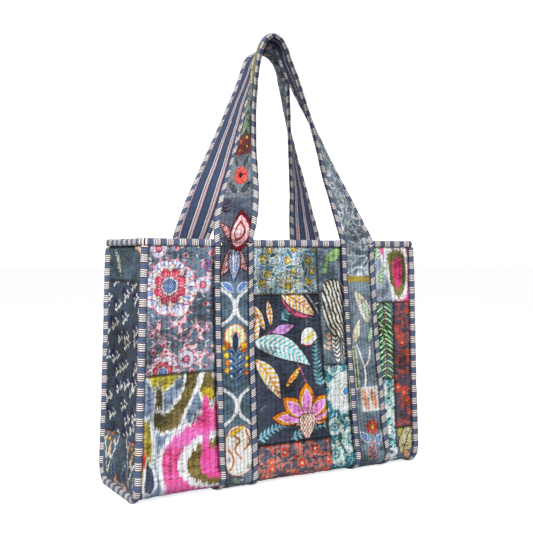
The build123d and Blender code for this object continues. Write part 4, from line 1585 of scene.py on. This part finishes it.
def build_wadding_and_lining():
    spans = {"front": (0, FRONT_LENGTH), "base": (FRONT_LENGTH, BACK_START),
             "back": (BACK_START, OUTLINE_LENGTH)}
    for name, (first, last) in spans.items():
        piece = layer(f"{name}_wadding", first, last, PANEL_HALF_WIDTH, WADDING_DEPTH, "wadding",
                      WADDING_STEP)
    lining = layer("body_lining", 0, OUTLINE_LENGTH, PANEL_HALF_WIDTH, LINING_DEPTH, "striped_lining",
                   LINING_STEP, fold=0.6)
    for name, side in (("left", -1), ("right", 1)):
        piece = gusset_layer(f"{name}_gusset_wadding", side, WADDING_DEPTH, "wadding", WADDING_STEP)
        piece = gusset_layer(f"{name}_gusset_lining", side, LINING_DEPTH, "striped_lining", LINING_STEP,
                             fold=0.6)


RING_POINTS = 20


def ring_shape():
    """Rounded cross-section of a folded binding: cosine and sine parts, a little square."""
    turn = np.linspace(0, 2 * math.pi, RING_POINTS, endpoint=False)
    bulge = 1 / (np.abs(np.cos(turn)) ** 2.8 + np.abs(np.sin(turn)) ** 2.8) ** (1 / 2.8)
    return np.cos(turn) * bulge, np.sin(turn) * bulge


def puckers(v, seed):
    """How a binding swells and pinches along its length, about 1."""
    return 1 + 0.05 * noise(v / 3.1, v * 0, seed) + 0.06 * noise(v / 9.0, v * 0, seed + 1)


def binding_mesh(name, rings, along, half_width, looped=False, lean=0.0, tuck="both"):
    mesh = tube(name, rings, looped)
    turn = np.linspace(0, 2 * math.pi, RING_POINTS, endpoint=False)
    # Painted shade: the sides of the tube that turn in against the cloth beside it, which its material paints
    # darker.
    side = {"both": np.abs(np.cos(turn)), "inner": -np.cos(turn), "lower": -np.sin(turn)}[tuck]
    u = half_width * np.cos(turn)[None, :] + 0 * along[:, None]
    v = along[:, None] + lean * u
    tuck_shade = smoothstep(0.72, 0.98, side)[None, :] + 0 * u
    paint(mesh, np.stack([u.ravel(), v.ravel(), tuck_shade.ravel()], 1))
    return mesh


def build_gusset_bindings():
    c, s = ring_shape()
    along = np.arange(0, OUTLINE_LENGTH + 0.1, BINDING_STEP)
    for name, side in (("left", -1), ("right", 1)):
        node = f"{name}_gusset_binding"
        centre, half = SEAM_BINDING / 2, SEAM_BINDING / 2 + 0.7
        swell = puckers(along, 31 + side)[:, None]
        x = side * (HALF_WIDTH - centre + half * c[None, :] * swell)
        depth = centre - half * s[None, :] * swell
        rings = tub_point(x, along[:, None], depth)
        rings[..., 2] = np.maximum(rings[..., 2], 0.0)
        mesh = binding_mesh(node, rings, along + 4 * side, half, tuck="inner")
        add_piece(node, mesh, "striped_binding")


def build_top_binding():
    """Ring that wraps the top edge of all four walls."""
    end_inset, side_inset, corner = 2.6, 5.2, 5.0
    side_thickness, extra_at_ends, tall = 4.1, 0.7, 5.0
    half_x, half_y = HALF_WIDTH - end_inset - corner, HALF_DEPTH - side_inset - corner
    stretches = []
    for k, (start, end) in enumerate(
        [((-half_x, -1), (half_x, -1)), ((-half_y, 1), (half_y, 1)), ((half_x, 1), (-half_x, 1)),
         ((half_y, -1), (-half_y, -1))]
    ):
        run = np.arange(0, 1, BINDING_STEP / abs(end[0] - start[0]))
        place = start[0] + (end[0] - start[0]) * run
        fixed = start[1] * ((half_y if k % 2 == 0 else half_x) + corner)
        pair = [place, 0 * place + fixed]
        stretches.append(np.stack(pair if k % 2 == 0 else pair[::-1], 1))
        turn = -math.pi / 2 + k * math.pi / 2 + np.arange(0, 1, 0.12) * math.pi / 2
        corner_x = (half_x, half_x, -half_x, -half_x)[k]
        corner_y = (-half_y, half_y, half_y, -half_y)[k]
        stretches.append(np.stack([corner_x + corner * np.cos(turn), corner_y + corner * np.sin(turn)], 1))
    path = np.concatenate(stretches)
    ahead = np.roll(path, -1, 0) - np.roll(path, 1, 0)
    out = np.stack([ahead[:, 1], -ahead[:, 0]], 1) / np.linalg.norm(ahead, axis=1, keepdims=True)
    along = np.concatenate([[0], np.cumsum(np.linalg.norm(np.diff(path, axis=0), axis=1))])
    along *= BINDING_REPEAT * round(along[-1] / BINDING_REPEAT) / (along[-1] + BINDING_STEP)
    c, s = ring_shape()
    swell = puckers(along, 41)[:, None]
    thick = side_thickness + extra_at_ends * np.abs(out[:, 0])[:, None, None]
    flat_place = path[:, None, :] + out[:, None, :] * (thick * c[None, :, None] * swell[..., None])
    z = (PANEL_TOP + BAG_TOP) / 2 + tall * s[None, :] * swell + 0 * flat_place[..., 0]
    z += 0.7 * noise(along / 60, 0 * along, 43)[:, None]
    rings = np.concatenate([flat_place, z[..., None]], -1)
    on_front = np.abs(path[:, 1]) / HALF_DEPTH * HALF_WIDTH > np.abs(path[:, 0])
    column = np.clip((path[:, 0] / HALF_WIDTH + 1) / 2, 0, 1) * SHELL_COLUMNS
    gusset_column = np.clip((path[:, 1] / HALF_DEPTH + 1) / 2, 0, 1) * BASE_ROWS
    row = np.where(path[:, 1] < 0, 0, len(SHELL_S) - 1)
    shift = np.where(on_front[:, None], sample(TUB_SHIFT, row, column), 0)
    for side, grid in ((-1, LEFT_SHIFT), (1, RIGHT_SHIFT)):
        there = ~on_front & (path[:, 0] * side > 0)
        shift[there] = sample(grid, np.zeros(there.sum()), gusset_column[there])
    rings = flare(rings + shift[:, None, :])
    mesh = binding_mesh("top_binding", rings, along, tall, looped=True, tuck="lower")
    add_piece("top_binding", mesh, "striped_binding")


def strap_x(name, s):
    """X of a strap's centre line at a length along the outline; it runs straight under the base."""
    on_back = np.where(s > BACK_START, PANEL_TOP - OUTLINE_LENGTH + s, RADIUS)
    z = np.where(s < FRONT_LENGTH, PANEL_TOP - s, on_back)
    ends = smoothstep(0, 50, s) * smoothstep(0, 50, OUTLINE_LENGTH - s)
    return strap_centre(name, z) + 1.1 * ends * noise(s / 42, 0 * s, 83)


def build_straps():
    """Strap covers and their bound edges, sewn on the front, under the base and up the back."""
    over_top = BAND_TOP - PANEL_TOP
    spans = {"front": (-over_top, FRONT_LENGTH, FINE), "base": (FRONT_LENGTH, BACK_START, BASE_FINE),
             "back": (BACK_START, OUTLINE_LENGTH + over_top, BACK_FINE)}
    prints = {"left": print_left_strap, "right": print_right_strap}
    for name, draw in prints.items():
        for place, (first, last, step) in spans.items():
            node = f"{place}_{name}_band"
            grids = even_grids(-BAND_HALF, BAND_HALF, first, last, step)
            (a, s), (coarse_a, coarse_s) = grids
            lift = 0.7 * quilting(a, s, 21, rows=6.0) + 0.6 * (1 - (a / BAND_HALF) ** 2)
            lift = held_up(lift - 1.2 * np.exp(-(((BAND_HALF - np.abs(a)) / 2.0) ** 2)), BAND_LOWEST)
            if place == "base":
                lift = np.minimum(lift, 0.4)
            face = tub_point(strap_x(name, s) + a, s, BAND_DEPTH[0] - lift)
            back = tub_point(strap_x(name, coarse_s) + coarse_a, coarse_s, BAND_DEPTH[1] + 0.3)
            mesh = slab(node, face, back, COARSE)
            flat = flat_places(*grids)
            height = PANEL_TOP - flat[:, 1] if place != "back" else PANEL_TOP - OUTLINE_LENGTH + flat[:, 1]
            across = flat[:, 0] if place != "back" else -flat[:, 0]
            colours = draw(across, height)
            # Painted shadow beside each bound edge of the band, with painted shade in its grooves and painted
            # highlight on its puffs.
            edge = 1 - 0.6 * np.exp(-(((STRAP_HALF - STRAP_EDGE - np.abs(a)) / 1.5) ** 2))
            colours[: a.size] *= (edge * painted_relief_shading(1.3 * lift - 0.4)).ravel()[:, None]
            paint(mesh, flat, colours)
            piece = add_piece(node, mesh, "strap_print")
        c, t = ring_shape()
        along = np.arange(-over_top, OUTLINE_LENGTH + over_top, BINDING_STEP)
        for hand, sign in (("left", -1), ("right", 1)):
            node = f"{name}_band_{hand}_binding"
            swell = puckers(along, 51 + sign)[:, None]
            middle = strap_x(name, along)[:, None] + sign * (STRAP_HALF - STRAP_EDGE / 2)
            low, high = STRAP_BINDING_DEPTH
            half_depth = (high - low) / 2
            x = middle + STRAP_EDGE / 2 * c[None, :] * swell
            depth = (low + high) / 2 - half_depth * t[None, :] * swell
            rings = tub_point(x, along[:, None], depth)
            rings[..., 2] = np.maximum(rings[..., 2], 0.0)
            mesh = binding_mesh(node, rings, sign * along, STRAP_EDGE / 2, lean=STRIPE_LEAN * (sign > 0))
            add_piece(node, mesh, "striped_binding")


# ---------------------------------------------------------------- handles
HANDLE_BASE_Y = 72.3
HANDLE_BASE_Z = BAG_TOP + 0.5
HANDLE_APEX_WIDTH = 54.0
ARCH_CENTRE_Z = 603.0
ARCH_HALF_SPAN = 25.0
ARCH_START = math.radians(20.0)
HANDLES = {
    "front": dict(outward=1, apex=(-6.0, -29.0), rise=50.0, left=(112.0, 2.3), right=(72.0, 1.3)),
    "back": dict(outward=-1, apex=(18.0, 29.0), rise=42.0, left=(88.0, 1.7), right=(74.0, 1.4)),
}
LEG_STEPS, ARCH_STEPS = 120, 60
OVERLAP = HANDLE_BASE_Z - BAND_TOP
SMOOTHING = 13


class HandleLine:
    """The strap's centre line from the left base over the arch to the right base, even steps apart.

    across points over the strap towards its edge that is nearer the front at the arch, and normal out
    of its printed face.
    """

    def __init__(self, outward, apex, rise, left, right, step):
        base_y = -HANDLE_BASE_Y * outward
        ends = [math.radians(leg[0]) for leg in (left, right)]
        axis = np.array([math.cos(ends[1]) - math.cos(ends[0]), math.sin(ends[0]) + math.sin(ends[1])])
        axis /= np.hypot(*axis)
        span = np.array([axis[1], -axis[0], 0.0])

        def arch(angle):
            height = ARCH_CENTRE_Z + rise * np.sin(angle)
            middle = np.stack([apex[0] + 0 * angle, apex[1] + 0 * angle, height], 1)
            return middle - ARCH_HALF_SPAN * np.cos(angle)[:, None] * span

        turns = np.linspace(ARCH_START, math.pi - ARCH_START, ARCH_STEPS)
        top = arch(turns)
        share = np.arange(LEG_STEPS)[:, None] / LEG_STEPS
        bases = [np.array([strap_centre(name, BAG_TOP), base_y, HANDLE_BASE_Z]) for name in ("left", "right")]
        left_leg = bases[0] + (top[0] - bases[0]) * share
        right_leg = (bases[1] + (top[-1] - bases[1]) * share)[::-1]
        angles = [end * (1 - (1 - share[:, 0]) ** leg[1]) for end, leg in zip(ends, (left, right))]
        over = np.linspace(0, 1, ARCH_STEPS)
        turned = math.pi - sum(ends)
        angle = np.concatenate([-angles[0], -ends[0] - turned * over, angles[1][::-1] - math.pi])
        scale = 1 + (HANDLE_APEX_WIDTH / (2 * STRAP_HALF) - 1) * share[:, 0]
        scale = np.concatenate([scale, 0 * over + scale[-1], scale[::-1]])
        drop = np.array([0, -0.6 * outward, -OVERLAP])
        centre = np.concatenate([[left_leg[0] + drop], left_leg, top, right_leg, [right_leg[-1] + drop]])
        angle = np.concatenate([angle[:1], angle, angle[-1:]])
        scale = np.concatenate([scale[:1], scale, scale[-1:]])
        length = np.concatenate([[0], np.cumsum(np.linalg.norm(np.diff(centre, axis=0), axis=1))])
        self.s = np.linspace(0, length[-1], round(length[-1] / step / COARSE) * COARSE + 1)
        values = np.column_stack([centre, angle, scale])
        values = np.stack([np.interp(self.s, length, column) for column in values.T], 1)
        values = smoothed(values, max(3, round(SMOOTHING / step)))
        self.centre, angle, self.scale = values[:, :3], values[:, 3], values[:, 4]
        self.across = np.stack([np.cos(angle), np.sin(angle), 0 * angle], 1)
        along = np.gradient(self.centre, axis=0)
        normal = np.cross(self.across, along) * outward
        self.normal = normal / np.linalg.norm(normal, axis=1, keepdims=True)
        self.length = length[-1]
        middle = np.exp(-(((self.s - self.length / 2) / 75) ** 2))
        foot = smoothstep(0, 60, np.minimum(self.s, self.length - self.s))
        self.cup = 1.2 * foot + 4.6 * middle

    def point(self, index, a, n):
        """A place at a distance a across the strap and n out of its printed face."""
        a, n = np.broadcast_arrays(a, n)
        curl = self.cup[index][:, None] * (a / STRAP_HALF) ** 2
        s = self.s[index][:, None]
        wave = 0.9 * noise(s / 38, a / 60, 71) + 0.4 * noise(s / 13, a / 30, 72)
        foot = smoothstep(4, 40, np.minimum(self.s, self.length - self.s))[index][:, None]
        width = (a * self.scale[index][:, None])[..., None]
        offset = (n - curl + wave * foot)[..., None]
        centre, across, normal = (part[index][:, None] for part in (self.centre, self.across, self.normal))
        return centre + across * width + normal * offset


def smoothed(values, window):
    """Moving average that keeps straight ends straight."""
    kernel = np.hanning(2 * window + 3)[1:-1]
    kernel /= kernel.sum()
    size = len(kernel) // 2
    before = 2 * values[:1] - values[1 : size + 1][::-1]
    after = 2 * values[-1:] - values[-size - 1 : -1][::-1]
    padded = np.concatenate([before, values, after])
    return np.stack([np.convolve(column, kernel, "valid") for column in padded.T], 1)


CORE_HALF = 1.0
LAYER_FACE = 2.3


def build_handle(name):
    body = f"{name}_handle"
    step = 1.1 if name == "front" else 1.35
    line = HandleLine(step=step, **HANDLES[name])
    fine = np.arange(len(line.s))
    coarse = fine[::COARSE]
    columns = round(2 * BAND_HALF / (step * COARSE))
    a = np.linspace(-BAND_HALF, BAND_HALF, columns * COARSE + 1)[None, :]
    coarse_a = a[:, ::COARSE]
    dome = 1 - (a / BAND_HALF) ** 2
    ripple = 0.55 * quilting(a, line.s[:, None], 25, rows=6.0)
    tuck = 1.1 * np.exp(-(((BAND_HALF - np.abs(a)) / 2.0) ** 2))
    grids = [np.broadcast_arrays(across, line.s[rows][:, None]) for across,
             rows in ((a, fine), (coarse_a, coarse))]
    flat = flat_places(*grids)

    height = np.interp(flat[:, 1], line.s, line.centre[:, 2])
    on_left = flat[:, 1] < line.length / 2
    left_half, right_half = print_left_strap(flat[:, 0], height), print_right_strap(-flat[:, 0], height)
    colours = np.where(on_left[:, None], left_half, right_half)
    face = line.point(fine, a, LAYER_FACE + ripple + 0.7 * dome - tuck)
    # Painted shade in the ripples' grooves and painted highlight on their tops.
    colours[: ripple.size] *= painted_relief_shading(1.6 * ripple).ravel()[:, None]
    mesh = slab(f"{body}_cover", face, line.point(coarse, coarse_a, CORE_HALF + 0.05), COARSE)
    paint(mesh, flat, colours)
    cover = add_piece(f"{body}_cover", mesh, "strap_print", body)

    face = line.point(fine, a, -LAYER_FACE - ripple - 0.5 * dome + tuck)
    mesh = slab(f"{body}_lining", face, line.point(coarse, coarse_a, -CORE_HALF - 0.05), COARSE)
    paint(mesh, flat)
    lining = add_piece(f"{body}_lining", mesh, "striped_lining", body)

    face, back = line.point(coarse, coarse_a, CORE_HALF), line.point(coarse, coarse_a, -CORE_HALF)
    mesh = slab(f"{body}_core", face, back, 1)
    paint(mesh, np.zeros((len(mesh.vertices), 2)))
    core = add_piece(f"{body}_core", mesh, "wadding", body)

    c, t = ring_shape()
    for hand, sign in (("near", 1), ("far", -1)):
        swell = puckers(line.s, 61 + sign)[:, None]
        middle = sign * (STRAP_HALF - STRAP_EDGE / 2)
        rings = line.point(fine, middle + STRAP_EDGE / 2 * c[None, :] * swell, 3.0 * t[None, :] * swell)
        mesh = binding_mesh(f"{body}_{hand}_binding", rings, line.s * sign, STRAP_EDGE / 2, lean=STRIPE_LEAN)
        add_piece(f"{body}_{hand}_binding", mesh, "striped_binding", body)


build_front()
build_back()
build_base()
build_gussets()
build_wadding_and_lining()
build_gusset_bindings()
build_top_binding()
build_straps()
for handle_name in HANDLES:
    build_handle(handle_name)


# ---------------------------------------------------------------- stage, lights and camera
def plain(name, colour, glow=0.0):
    material = bpy.data.materials.new(name)
    material.use_nodes = True
    shader = material.node_tree.nodes["Principled BSDF"]
    shader.inputs["Base Color"].default_value = rgba(colour)
    shader.inputs["Roughness"].default_value = 0.9
    shader.inputs["Emission Color"].default_value = rgba(colour)
    shader.inputs["Emission Strength"].default_value = glow
    return material


# In metres, as everything in the studio is.
FLOOR_SIZE, FLOOR_DROP = 60, 0.0005
DOME_RADIUS, DOME_SCALE = 9, 4
# Each lamp's place, size and power in watts. They all aim at one place.
LIGHT_AIM = (0, 0, 0.25)
LAMPS = {
    "key": ((-1.15, -1.75, 1.25), 0.8, 47),
    "side_fill": ((-1.9, 0.3, 0.7), 1.0, 6),
    "back_fill": ((0.2, 2.4, 1.5), 1.4, 16),
}
SKY, SKY_STRENGTH = "#f2f5ff", 0.31
# The camera was fitted to the photo's six visible corners of the body.
CAMERA_PLACE, CAMERA_TURN = (-0.6164, -1.0805, 0.3233), -29.78
LENS, SHIFT_UP = 55.34, -0.015


def build_stage():
    """A pale floor and a white surround that only the camera sees."""
    bpy.ops.mesh.primitive_plane_add(size=FLOOR_SIZE, location=(0, 0, -FLOOR_DROP))
    floor = bpy.context.object
    floor.name = "studio_floor"
    floor.data.materials.append(plain("pale_floor", "#f4f4f4", 0.8))
    bpy.ops.mesh.primitive_uv_sphere_add(radius=DOME_RADIUS, segments=48, ring_count=24)
    dome = bpy.context.object
    dome.name = "studio_surround"
    dome.data.materials.append(plain("white_surround", "#ffffff", 1.0))
    dome.scale = (DOME_SCALE,) * 3
    for surround in (floor, dome):
        surround.visible_diffuse = surround.visible_glossy = False
    dome.visible_shadow = False


def soft_light(name, place, aim, size, watts):
    data = bpy.data.lights.new(name, "AREA")
    data.shape = "SQUARE"
    data.size = size
    data.energy = watts
    lamp = bpy.data.objects.new(name, data)
    lamp.location = place
    lamp.rotation_euler = (Vector(aim) - Vector(place)).to_track_quat("-Z", "Y").to_euler()
    bpy.context.scene.collection.objects.link(lamp)


def build_lights():
    world = bpy.data.worlds.new("studio")
    world.use_nodes = True
    world.node_tree.nodes["Background"].inputs[0].default_value = rgba(SKY)
    world.node_tree.nodes["Background"].inputs[1].default_value = SKY_STRENGTH
    bpy.context.scene.world = world
    for name, (place, size, watts) in LAMPS.items():
        soft_light(name, place, LIGHT_AIM, size, watts)


def build_camera():
    data = bpy.data.cameras.new("camera")
    data.sensor_width = 36.0
    data.lens = LENS
    data.shift_y = SHIFT_UP
    data.dof.use_dof = False
    data.clip_end = 100
    camera = bpy.data.objects.new("camera", data)
    camera.location = CAMERA_PLACE
    camera.rotation_euler = (math.radians(90), 0, math.radians(CAMERA_TURN))
    bpy.context.scene.collection.objects.link(camera)
    bpy.context.scene.camera = camera


build_stage()
build_lights()
build_camera()
bpy.context.scene.view_settings.view_transform = "Standard"
